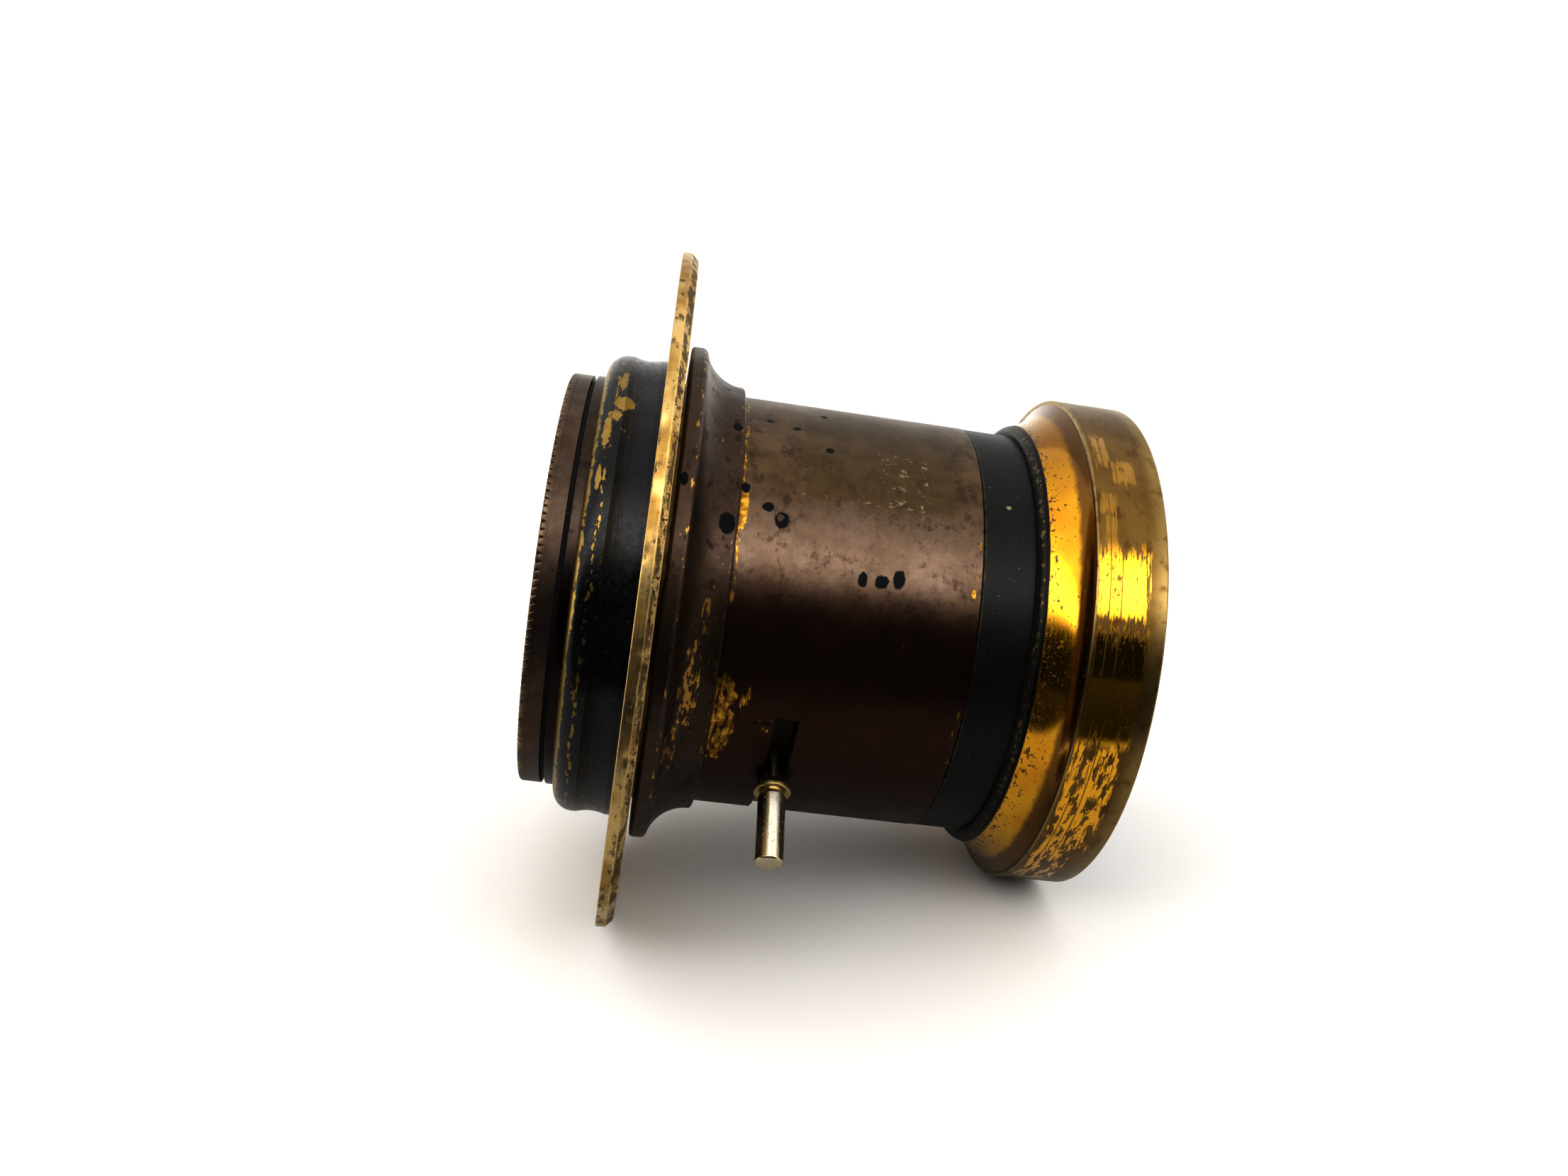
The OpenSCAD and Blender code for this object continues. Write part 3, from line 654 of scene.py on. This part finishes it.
def lacquered_bell():
    """The bell: a blackened lip with brass showing through, then golden lacquer with tiny dark marks, and
    painted shade on its top and on its steep flank by the hood.
    """
    f = Finish("lacquered_bell")
    uneven = f.plus(f.x, f.times(f.plus(f.noise(0.35, detail=4, seed=2), -0.5), 0.25))
    black = f.rise(uneven, FLARE_REAR + 0.15, FLARE_REAR)
    seam = f.band(uneven, FLARE_REAR - 0.45, FLARE_REAR + 0.05, 0.06)
    on_lip = f.times(f.along(FLARE_REAR - 1.1, FLARE_REAR - 0.5, 0.3), 0.08)
    through = f.rise(f.plus(f.noise(1.6, (1, 0.7, 0.7), 6, 0.6, seed=6), on_lip), 0.6, 0.68)
    lip = f.mix(f.times(through, 0.8), (0.022, 0.021, 0.018), (0.2, 0.15, 0.06))
    lip = f.mix(seam, lip, (0.006, 0.005, 0.004))
    amber = f.mix(f.patches(0.35, 0.7, 0.16, seed=5), (0.9, 0.52, 0.035), (0.76, 0.37, 0.02))
    amber = f.tint(amber, (0.52, 0.25, 0.015), f.streaks(3.5, 14, 3, seed=8), 0.28)
    # Painted shade: the bell's top, from 40 to 128 degrees, is darkened to a deep amber.
    amber = f.tint(amber, (0.23, 0.1, 0.005), f.band(f.angle, 40, 128, 14), 0.75)
    # Painted shade: the steep flank next to the hood is darkened to dark brown all round.
    shaded_flank = f.rise(f.plus(f.x, f.times(f.noise(0.5, detail=4), 0.7)), HOOD_REAR - 1.4, HOOD_REAR - 0.7)
    amber = f.tint(amber, (0.115, 0.05, 0.01), shaded_flank, 0.85)
    near_lip = f.forwards(FLARE_REAR + 2.6, FLARE_REAR)
    spots = f.plus(f.noise(2.4, detail=3, rough=0.5, seed=12), f.times(near_lip, 0.05))
    scars = f.plus(f.noise(1.1, (1.2, 0.7, 0.7), 6, 0.68, seed=44), f.times(near_lip, 0.09))
    scars = f.plus(scars, f.times(f.rise(f.angle, 150, 200), 0.03))
    marks = f.most(f.rise(spots, 0.66, 0.685), f.rise(scars, 0.665, 0.685))
    marks = f.times(marks, f.forwards(FLARE_REAR - 0.1, FLARE_REAR + 0.2))
    amber = f.tint(amber, (0.03, 0.014, 0.006), marks, 0.9)
    bore = f.most(f.outwards(TUBE_R + 0.9, TUBE_R + 0.4), f.forwards(HOOD_REAR + 0.1, HOOD_REAR + 0.3))
    colour = f.mix(bore, f.mix(black, amber, lip), (0.018, 0.017, 0.015))
    gloss = f.scale(f.streaks(4, 12, seed=31), 0.3, 0.7, 0.1, 0.19)
    rough = f.blend(f.most(bore, f.times(black, 0.7), marks), gloss, 0.48)
    metal = f.blend(f.most(marks, f.times(black, 0.5)), 1.0, 0.4)
    height = f.plus(f.times(marks, -0.7), f.times(f.noise(0.7, detail=4, seed=13), 0.35))
    metal = f.blend(bore, metal, 0.2)
    coat = f.blend(black, 0.35, 0)
    return f.done(colour, metal, rough, height, 0.006, coat_weight=coat, coat_roughness=0.1)


def hood_lacquer(f):
    """Where the hood's old lacquer is left, in islands torn along the turning marks, and the gaps in it."""
    # each island: place along the axis, angle, half length and half angle
    islands = (
        (62.6, 152.0, 3.4, 6.4), (60.9, 118.0, 0.9, 4.5), (63.4, 124.5, 1.5, 3.2), (60.8, 133.8, 1.0, 2.4),
        (61.0, 141.0, 0.75, 5.0), (65.4, 143.6, 0.4, 1.6), (62.9, 174.0, 3.7, 12.0), (62.8, 199.0, 3.3, 15.0),
        (62.5, 225.0, 2.6, 14.0), (62.4, 60.0, 3.2, 22.0), (62.8, 300.0, 3.0, 30.0), (63.0, 5.0, 3.1, 26.0))
    far = None
    for x, angle, size_x, size_angle in islands:
        dx = f.times(f.plus(f.x, -x), 1 / size_x)
        da = f.times(f.plus(f.angle, -angle), 1 / size_angle)
        reach = f.maths("MAXIMUM", f.maths("ABSOLUTE", dx), f.maths("ABSOLUTE", da))
        far = reach if far is None else f.maths("MINIMUM", far, reach)
    torn = f.times(f.plus(f.noise(1.5, (2.2, 0.16, 0.16), 6, 0.7, seed=23), -0.5), 2)
    upper = f.rise(f.angle, 148, 144)
    inside = f.rise(f.plus(far, f.times(torn, f.blend(upper, 0.7, 1.5))), 1.04, 0.96)
    low_side = f.rise(f.angle, 184, 187)
    holes = f.plus(f.noise(0.75, (1.1, 0.5, 0.5), 6, 0.72, seed=57), f.times(low_side, 0.02))
    scores = f.plus(f.noise(1.9, (1, 0.1, 0.1), 6, 0.75, seed=41), f.times(low_side, 0.03))
    flaked = f.patches(0.515, 0.535, 0.62, (1.5, 0.42, 0.42), 7, 0.62, seed=88)
    lines = f.most(f.along(60.75, 60.9, 0.05), f.along(62.35, 62.5, 0.05))
    pinholes = f.patches(0.66, 0.69, 2.2, (1, 0.5, 0.5), 4, seed=5)
    gaps = f.most(f.times(f.rise(scores, 0.6, 0.63), 0.95), f.rise(holes, 0.6, 0.63),
                  f.times(low_side, flaked), lines, pinholes)
    left = f.times(inside, f.maths("SUBTRACT", 1, gaps), f.along(HOOD_REAR + 0.3, HOOD_FRONT - 2.3, 0.25))
    return f.times(left, f.outwards(HOOD_R - 0.35, HOOD_R - 0.15)), gaps


def tarnished_hood():
    """The hood ring: dull tan tarnish with islands of bright old lacquer, and a pale rubbed front edge."""
    f = Finish("tarnished_hood")
    grain = f.streaks(4.5, 14, 4, seed=2, rough=0.65)
    clouds = f.noise(0.16, detail=6, rough=0.6, seed=7)
    tan = f.mix(f.rise(clouds, 0.35, 0.68), (0.185, 0.112, 0.032), (0.125, 0.07, 0.016))
    tan = f.tint(tan, (0.23, 0.155, 0.06), grain, 0.3)
    smoke = f.patches(0.52, 0.68, 0.6, (1, 0.5, 0.5), 5, seed=3)
    tan = f.tint(tan, (0.07, 0.034, 0.008), smoke, 0.6)
    lacquer, gaps = hood_lacquer(f)
    amber = f.mix(f.noise(0.5, seed=8), (0.95, 0.54, 0.04), (0.8, 0.41, 0.022))
    # Painted shade: above about 145 degrees the lacquer islands are dulled towards the tan.
    amber = f.tint(amber, tan, f.rise(f.angle, 149, 141), 0.8)
    edges = f.most(f.forwards(HOOD_REAR + 0.35, HOOD_REAR + 0.15),
                   f.times(f.forwards(HOOD_FRONT - 2.9, HOOD_FRONT - 0.3), 0.8))
    pale = f.times(edges, f.patches(0.28, 0.5, 0.6, seed=6))
    colour = f.mix(f.times(pale, 0.75), tan, (0.36, 0.27, 0.115))
    colour = f.mix(lacquer, colour, amber)
    bore = f.outwards(HOOD_R - 1.25, HOOD_R - 1.45)
    colour = f.mix(bore, colour, (0.02, 0.018, 0.016))
    dull = f.scale(f.plus(clouds, grain), 0.4, 1.5, 0.26, 0.4)
    rough = f.blend(bore, f.blend(lacquer, f.blend(pale, dull, 0.28), 0.1), 0.55)
    height = f.plus(f.times(lacquer, 0.5), f.plus(f.times(grain, 0.25), f.times(gaps, -0.2)))
    metal = f.blend(bore, f.blend(lacquer, 0.92, 1.0), 0.2)
    coat = f.times(lacquer, 0.4)
    return f.done(colour, metal, rough, height, 0.004, coat_weight=coat, coat_roughness=0.08)


def nickel_silver():
    """The control pin: polished nickel silver, a little yellow, with fine dings."""
    f = Finish("nickel_silver")
    neck_r, tip_r = 34.0, 43.6
    along = f.noise(2.2, (1, 0.12, 0.12), 4, seed=4)
    colour = f.mix(f.noise(0.5), (0.8, 0.78, 0.69), (0.68, 0.63, 0.49))
    dings = f.patches(0.66, 0.7, 2.0, detail=3, seed=15)
    ends = f.most(f.outwards(neck_r + 0.3, neck_r - 0.3), f.outwards(tip_r - 0.2, tip_r + 0.2))
    colour = f.tint(colour, (0.5, 0.38, 0.16), ends, 0.45)
    colour = f.tint(colour, (0.2, 0.15, 0.08), dings, 0.5)
    rough = f.scale(along, 0.3, 0.7, 0.16, 0.32)
    height = f.plus(f.times(dings, -1), f.times(f.noise(1.2, detail=3, seed=2), 0.8))
    return f.done(colour, 1.0, rough, height, 0.02)


def pin_collar_brass():
    """The pin's collar: blackened brass with a bright worn rim."""
    f = Finish("pin_collar_brass")
    rim = f.outwards(TUBE_R + 1.45, TUBE_R + 1.8)
    worn = f.times(rim, f.patches(0.3, 0.45, 1.2, seed=6))
    brass = f.mix(f.noise(1.5, detail=4), (0.62, 0.5, 0.25), (0.33, 0.25, 0.1))
    colour = f.mix(worn, (0.03, 0.022, 0.014), brass)
    height = f.noise(1.5, detail=4, seed=3)
    return f.done(colour, f.blend(worn, 0.6, 1.0), f.blend(worn, 0.45, 0.26), height, 0.03)


def blackened_brass():
    """Inner rings: matt chemical black, with a little brass showing."""
    f = Finish("blackened_brass")
    rings = f.turning(6)
    colour = f.mix(f.noise(0.3), (0.014, 0.013, 0.012), (0.032, 0.028, 0.024))
    rubbed = f.patches(0.64, 0.7, 0.7, detail=6, rough=0.65, seed=5)
    colour = f.tint(colour, (0.24, 0.16, 0.07), rubbed, 0.7)
    rough = f.scale(rings, 0.3, 0.7, 0.42, 0.62)
    return f.done(colour, f.blend(rubbed, 0.3, 0.9), rough, f.times(rings, 0.5), 0.02)


def iris_brass():
    """The drive ring: dulled turned brass, with painted shade on its rim where it shows through the slot."""
    f = Finish("iris_brass")
    rings = f.turning(7)
    dull = f.noise(0.25, detail=6, seed=4)
    colour = f.mix(f.rise(dull, 0.35, 0.7), (0.5, 0.35, 0.14), (0.24, 0.155, 0.06))
    colour = f.tint(colour, (0.62, 0.46, 0.2), rings, 0.3)
    # Painted shade: the outer rim, seen through the slot, is made near black.
    colour = f.mix(f.outwards(TUBE_R - 2.4, TUBE_R - 2.1), colour, (0.02, 0.016, 0.012))
    rough = f.scale(f.plus(rings, dull), 0.5, 1.5, 0.28, 0.46)
    return f.done(colour, 1.0, rough, rings, 0.012)


def blued_steel(number):
    """An iris blade: blued steel, rubbed pale where its neighbours slide, with clouds of its own."""
    f = Finish(f"blued_steel_{number:02d}")
    clouds = f.noise(0.28, seed=number * 7.3)
    colour = f.mix(f.rise(clouds, 0.35, 0.7), (0.06, 0.07, 0.092), (0.1, 0.092, 0.095))
    rub = f.streaks(3.5, 16, 4, seed=number * 3.1, rough=0.6)
    colour = f.tint(colour, (0.26, 0.25, 0.25), f.rise(rub, 0.52, 0.75), 0.6)
    rust = f.patches(0.66, 0.72, 0.9, seed=number * 5.7)
    colour = f.tint(colour, (0.13, 0.06, 0.025), rust, 0.6)
    rough = f.scale(f.plus(rub, clouds), 0.4, 1.5, 0.26, 0.44)
    return f.done(colour, 0.95, rough, rub, 0.002)


def old_glass(node, tint, index):
    """Uncoated glass with a blackened ground edge, a light haze and a few specks of dust."""
    f = Finish(node.replace("_glass", ""))
    ground = span(node)[2] - 0.03
    edge = f.outwards(ground - 0.02, ground)
    dust = f.patches(0.735, 0.76, 2.8, detail=2, seed=9)
    haze = f.patches(0.5, 0.85, 0.09, detail=6, seed=3)
    clear = f.blend(edge, f.blend(f.times(dust, 0.5), 1.0, 0.3), 0.0)
    dusty = f.mix(f.times(dust, 0.3), tint, (0.85, 0.83, 0.78))
    colour = f.mix(edge, dusty, (0.012, 0.012, 0.012))
    dim = f.most(f.times(haze, 0.15), f.times(dust, 0.6))
    rough = f.blend(edge, f.blend(dim, 0.0, 0.25), 0.7)
    return f.done(colour, 0.0, rough, transmission_weight=clear, ior=index)


# ---------- pieces

def flange_plate(finish):
    """The flange plate with knocks on its rim, and its countersunk screw holes."""
    # each knock: angle and half width in degrees, place across the rim and depth in millimetres
    knocks = (
        (142.5, 1.3, 0.4, 0.28), (147.2, 1.6, 1.0, 0.3), (160.5, 0.9, 0.2, 0.12), (173.0, 0.8, 1.5, 0.14),
        (188.5, 1.0, 1.4, 0.18), (214.0, 0.7, 0.1, 0.12), (232.0, 1.2, 1.6, 0.16), (98.0, 0.8, 0.2, 0.12),
        (62.0, 1.4, 0.6, 0.2), (300.0, 1.1, 1.2, 0.18), (12.0, 0.9, 0.3, 0.15), (336.0, 1.3, 1.5, 0.2))
    knock_reach, wave = 0.55, 0.012
    rim_zone, long_side, fine_step = 1.2 * MM, 0.3 * MM, 0.14 * MM
    low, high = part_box("flange_plate")
    rim = high.y

    points = []
    corners = rounded(hull_outline("flange_plate"), 0.16 * MM)
    for here, onward in zip(corners, corners[1:] + corners[:1]):
        points.append(here)
        side = math.dist(here, onward)
        if min(here[1], onward[1]) > rim - rim_zone and side > long_side:
            parts = round(side / fine_step)
            points += [tuple(Vector(here).lerp(Vector(onward), k / parts)) for k in range(1, parts)]

    screws = MOUNT["flange_screws"]["dims"]
    hole_r, circle_r = screws["hole_r_mm"] * MM, screws["pcd_mm"] * MM / 2
    sink = 1.4 * MM
    off_grid = 0.05      # radians, to keep the cutters' edges off the plate's
    profile = [(low.x - MM, 0), (low.x - MM, hole_r), (high.x - sink, hole_r), (high.x, hole_r + sink),
               (high.x + MM, hole_r + 2 * sink), (high.x + MM, 0)]
    cutters = []
    for k in range(screws["count"]):
        angle = math.tau * (k + 0.5) / screws["count"]
        place = Matrix.Translation((0, circle_r * math.cos(angle), circle_r * math.sin(angle)))
        place @= Matrix.Rotation(off_grid, 4, "X")
        cutters.append(revolved("screw_hole", facing_out(profile), 64, None, place))
    plate = cut(revolved("flange_plate_worn", points, 900), cutters)

    for vertex in plate.vertices:
        x, y, z = vertex.co
        r, angle = math.hypot(y, z), math.degrees(math.atan2(z, y)) % 360
        if r < rim - rim_zone:
            continue
        loss = wave * (1 + math.sin(math.radians(angle) * 37) * math.sin(math.radians(angle) * 11 + 1))
        for at, width, across, depth in knocks:
            off, side = (angle - at) / width, (x / MM - across) / knock_reach
            loss += depth * math.exp(-off * off - side * side)
        vertex.co.yz = (y * (1 - loss * MM / r), z * (1 - loss * MM / r))
    show("flange_plate_worn", plate, "flange_plate", finish)


def barrel_tube(finish):
    """The main tube with the pin's slot and the short index line cut in it."""
    slot_half, index_reach, index_depth, index_half_angle = 1.8 * MM, 6 * MM, 0.15 * MM, 0.22
    low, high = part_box("barrel_tube")
    slot_x, slot_angles, index_x, index_angles = [], [], [], []
    for vertex in NODES["barrel_tube"].data.vertices:
        x, angle = vertex.co.x, math.degrees(math.atan2(vertex.co.z, vertex.co.y)) % 360
        off = abs(x - PIN_X * MM)
        if off < slot_half:
            slot_x.append(x)
            slot_angles.append(angle)
        elif off < index_reach:
            index_x.append(x)
            index_angles.append(angle)
    tube = revolved("barrel_tube_worn", rounded(hull_outline("barrel_tube"), 0.1 * MM), 480)
    slot = sector(min(slot_x), max(slot_x), high.y - 4 * MM, high.y + 2 * MM,
                  min(slot_angles), max(slot_angles))
    middle = (min(index_angles) + max(index_angles)) / 2
    line = sector(min(index_x), max(index_x) + 0.1 * MM, high.y - index_depth, high.y + MM,
                  middle - index_half_angle, middle + index_half_angle)
    show("barrel_tube_worn", cut(tube, [slot, line]), "barrel_tube", finish)


def rear_cell(finish):
    """The rear cell, whose beaded edge is a fine ring of its own on a plain turned body."""
    beads, per_bead = 180, 10
    bead_reach, bead_depth, ring_w, ring_h, bend = 0.55 * MM, 0.4 * MM, 1.1 * MM, 0.9 * MM, 0.42 * MM
    low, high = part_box("rear_cell_ring")
    rear, rim = low.x, high.y

    def same(a, b):
        return abs(a - b) < SAME_POINT

    body = outline("rear_cell_ring", lambda x, r: x < rear + 0.8 * MM and r > rim - 0.8 * MM)
    for at, (x, r) in enumerate(body):
        before_x, before_r = body[at - 1]
        if same(r, rim) and same(before_x, rear) or same(x, rear) and same(before_r, rim):
            break
    step = [(rear, rim - ring_h), (rear + ring_w, rim - ring_h), (rear + ring_w, rim)]
    if same(body[at][0], rear):
        step.reverse()
    body[at:at] = step
    body = revolved("rear_cell_body", rounded(facing_out(body), 0.08 * MM, 2))
    show("rear_cell_body", body, "rear_cell_ring", finish)

    def beaded(x, r, angle):
        phase = abs(math.sin(math.radians(angle * beads / 2)))
        near = max(0.0, 1 - math.hypot(x - rear, r - rim) / bead_reach)
        sink = bead_depth * near ** 0.8 * (1 - math.sqrt(phase * (2 - phase)))
        return x + sink, r - sink

    bend_steps = 8
    edge = [(rear + ring_w, rim - ring_h), (rear + ring_w, rim), (rear + ring_w * 2 / 3, rim)]
    for k in range(bend_steps + 1):
        turn = math.pi / 2 * k / bend_steps
        edge.append((rear + bend - bend * math.sin(turn), rim - bend + bend * math.cos(turn)))
    edge.append((rear, rim - ring_h))
    ring = revolved("rear_cell_beads", facing_out(edge), beads * per_bead, beaded)
    show("rear_cell_beads", ring, "rear_cell_ring", finish)


def pin_frame():
    """The control pin's own frame: X along it and outwards, from the middle of its vertices."""
    vertices = [v.co for v in NODES["iris_pin"].data.vertices]
    middle = sum(vertices, Vector()) / len(vertices)
    outward = Vector((0, middle.y, middle.z)).normalized()
    level = Vector((1, 0, 0))
    place = Matrix((outward, level, outward.cross(level))).transposed().to_4x4()
    place.translation = (middle.x, 0, 0)
    return place


def extent(points):
    """The lowest and highest place along the axis, and the largest radius, of some axial points."""
    return min(x for x, _ in points), max(x for x, _ in points), max(r for _, r in points)


def control_pin(finish, collar_finish):
    """The control pin and its collar, turned about the pin's own line: screw, shank and grip."""
    place = pin_frame()
    back = place.inverted()
    foot, tip, grip = extent(axial_points("iris_pin", back))
    screw, shank = grip * 0.59, grip * 0.75
    seat, neck_end = tip - 15.35 * MM, tip - 10.35 * MM
    pin = [(foot, 0), (foot, screw), (seat, screw), (seat, shank), (neck_end, shank),
           (neck_end, grip - 0.15 * MM), (neck_end + 0.15 * MM, grip), (tip - 0.35 * MM, grip),
           (tip - 0.12 * MM, grip - 0.2 * MM), (tip - 0.02 * MM, grip * 0.55), (tip, 0)]
    pin = revolved("iris_pin_polished", facing_out(rounded(pin)), 96, None, place)
    show("iris_pin_polished", pin, "iris_pin", finish)
    foot, top, rim = extent(axial_points("iris_pin_collar", back))
    collar = [(foot, shank), (foot, rim - 0.55 * MM), (top - 0.6 * MM, rim), (top - 0.15 * MM, rim),
              (top, rim - 0.15 * MM), (top, shank)]
    collar = revolved("iris_pin_collar_worn", facing_out(rounded(collar)), 96, None, place)
    show("iris_pin_collar_worn", collar, "iris_pin_collar", collar_finish)


def glass_element(node, finish, gap=0.0):
    """A glass element with true curved faces, from its middles and rims. gap draws its front in."""
    steps = 28
    points = axial_points(node)
    rim = max(r for _, r in points)
    rims = [x for x, r in points if r > rim - SAME_POINT]
    middles = [x for x, r in points if r < 0.1 * rim]
    profile = []
    for edge_x, centre_x, way in ((min(rims), min(middles), 1), (max(rims) - gap, max(middles) - gap, -1)):
        sag = edge_x - centre_x
        curve_r = (rim ** 2 + sag ** 2) / (2 * abs(sag))
        side = []
        for k in range(steps + 1):
            r = rim * k / steps
            side.append((centre_x + math.copysign(curve_r - math.sqrt(curve_r ** 2 - r ** 2), sag), r))
        profile += side[::way]
    show(node + "_ground", revolved(node + "_ground", facing_out(profile), 192), node, finish)


# ---------- the lens

flange_plate(worn_brass())
barrel_tube(bronzed_tube())
rear_cell(bronzed_cell())
control_pin(nickel_silver(), pin_collar_brass())

black_finish = blackened_brass()
for node, look, finish, edge in (
        ("flange_collar", "lacquered", black_lacquer(), 0.2 * MM),
        ("shoulder_ring", "bronzed", bronzed_shoulder(), 0.12 * MM),
        ("front_cell_tube", "black", gunmetal_tube(), 0.1 * MM),
        ("front_bell", "lacquered", lacquered_bell(), 0.1 * MM),
        ("front_hood_ring", "tarnished", tarnished_hood(), 0.12 * MM),
        ("front_retaining_ring", "black", black_finish, 0.1 * MM),
        ("rear_retaining_ring", "black", black_finish, 0.1 * MM),
        ("rear_spacer_ring", "black", black_finish, 0.1 * MM)):
    name = f"{node}_{look}"
    show(name, revolved(name, rounded(outline(node), edge)), node, finish)

repaint("iris_pivot_plate", black_finish)
repaint("iris_retaining_ring", black_finish)
repaint("iris_drive_ring", iris_brass())
for number in range(1, 13):
    repaint(f"iris_blade_{number:02d}", blued_steel(number))

crown_tint, crown_index = (0.97, 0.985, 0.97), 1.52
flint_tint, flint_index = (0.98, 0.98, 0.95), 1.62
cement_gap = 0.03 * MM
for node, tint, index, gap in (
        ("front_crown_glass", crown_tint, crown_index, 0),
        ("front_flint_glass", flint_tint, flint_index, cement_gap),
        ("rear_crown_glass", crown_tint, crown_index, 0),
        ("rear_flint_glass", flint_tint, flint_index, 0)):
    glass_element(node, old_glass(node, tint, index), gap)


# ---------- stage, light and camera

PAPER_SEEN = (0.74, 0.732, 0.722)
# Steps of grey across the paper, towards +Y: start, end, grey before and grey after. They add up.
PAPER_REFLECTED = ((-99 * MM, -89 * MM, 0.01, 0.46), (50 * MM, 300 * MM, 0.0, 0.42))
ROOM_LIGHT, WINDOW_LIGHT, DIM_LIGHT, SEEN_LIGHT = 1.6, 4.4, 0.02, 1.1
WINDOW_FROM, DIM_FROM, REAR_LIGHT = 124, 152, (262, 285)     # degrees about the axis
LIGHT_COLOUR = (1.0, 0.985, 0.965, 1)
VIEW_GAMMA = 0.68

CAMERA_PLACE = Vector((0.441, -193.436, 51.831)) * MM
CAMERA_TARGET = Vector((22.158, 0.695, 2.75)) * MM
CAMERA_ROLL = math.radians(9.025)
FOCAL_LENGTH, SENSOR_WIDTH = 29.7645, 36.0


def standing():
    """The floor's place: the lens rests on its flange plate's rim and its hood's front edge."""
    plate_low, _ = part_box("flange_plate")
    hood_low, hood_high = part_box("front_hood_ring")
    plate_foot = Vector((plate_low.x + 1.4 * MM, 0, plate_low.z))
    hood_foot = Vector((hood_high.x, 0, hood_low.z))
    slope = math.atan2(hood_foot.z - plate_foot.z, hood_foot.x - plate_foot.x)
    return Matrix.Translation(plate_foot) @ Matrix.Rotation(-slope, 4, "Y")


def sweep(finish):
    """A pale floor that curves up into a wall far behind."""
    half, front, back, bend, top = 1.6, -0.9, 0.75, 0.6, 1.6
    rows = [(front, 0), (back, 0)]
    for degrees in range(6, 91, 6):
        turn = math.radians(degrees)
        rows.append((back + bend * math.sin(turn), bend - bend * math.cos(turn)))
    rows.append((back + bend, top))
    vertices = [(x, y, z) for y, z in rows for x in (-half, half)]
    faces = [(2 * k, 2 * k + 1, 2 * k + 3, 2 * k + 2) for k in range(len(rows) - 1)]
    mesh = bpy.data.meshes.new("sweep")
    mesh.from_pydata(vertices, [], faces)
    mesh.shade_smooth()
    mesh.materials.append(finish)
    floor = in_scene("sweep", mesh)
    floor.matrix_world = standing()


def paper():
    """White paper. The lens sees it dimmer than the camera does, and dark on the camera's side."""
    f = Finish("paper")
    seen = f.add("LightPath").outputs["Is Camera Ray"]
    place = f.add("NewGeometry").outputs["Position"]
    y = f.add("SeparateXYZ", place).outputs[1]
    grey = f.plus(*(f.scale(y, *step) for step in PAPER_REFLECTED))
    return f.done(f.mix(seen, grey, PAPER_SEEN), 0, 0.8, specular_ior_level=0.1)


def studio():
    """A white room above and behind, a bright window low on the camera's side, and dimness below that."""
    world = bpy.data.worlds.new("studio")
    bpy.context.scene.world = world
    g = Graph(world)
    direction = g.add("TexCoord").outputs["Generated"]
    _, y, z = g.add("SeparateXYZ", direction).outputs
    angle = g.around(y, z)
    lit = g.most(g.scale(angle, DIM_FROM + 6, DIM_FROM - 6, 0, 1), g.scale(angle, *REAR_LIGHT, 0, 1))
    window = g.times(g.scale(angle, WINDOW_FROM - 8, WINDOW_FROM + 8, 0, 1), lit)
    strength = g.maths("MULTIPLY_ADD", window, WINDOW_LIGHT - ROOM_LIGHT, ROOM_LIGHT)
    strength = g.most(g.times(strength, lit), DIM_LIGHT)
    seen = g.add("LightPath").outputs["Is Camera Ray"]
    strength = g.most(g.times(seen, SEEN_LIGHT), strength)
    background = g.add("Background", LIGHT_COLOUR, strength)
    g.add("OutputWorld", background.outputs[0])


def camera():
    lens = bpy.data.cameras.new("camera")
    lens.lens = FOCAL_LENGTH
    lens.sensor_width = SENSOR_WIDTH
    lens.clip_start = 0.01
    viewer = in_scene("camera", lens)
    look = (CAMERA_TARGET - CAMERA_PLACE).to_track_quat("-Z", "Y").to_matrix().to_4x4()
    viewer.matrix_world = Matrix.Translation(CAMERA_PLACE) @ look @ Matrix.Rotation(CAMERA_ROLL, 4, "Z")
    bpy.context.scene.camera = viewer
    bpy.context.scene.view_settings.view_transform = "Standard"
    bpy.context.scene.view_settings.gamma = VIEW_GAMMA


sweep(paper())
studio()
camera()
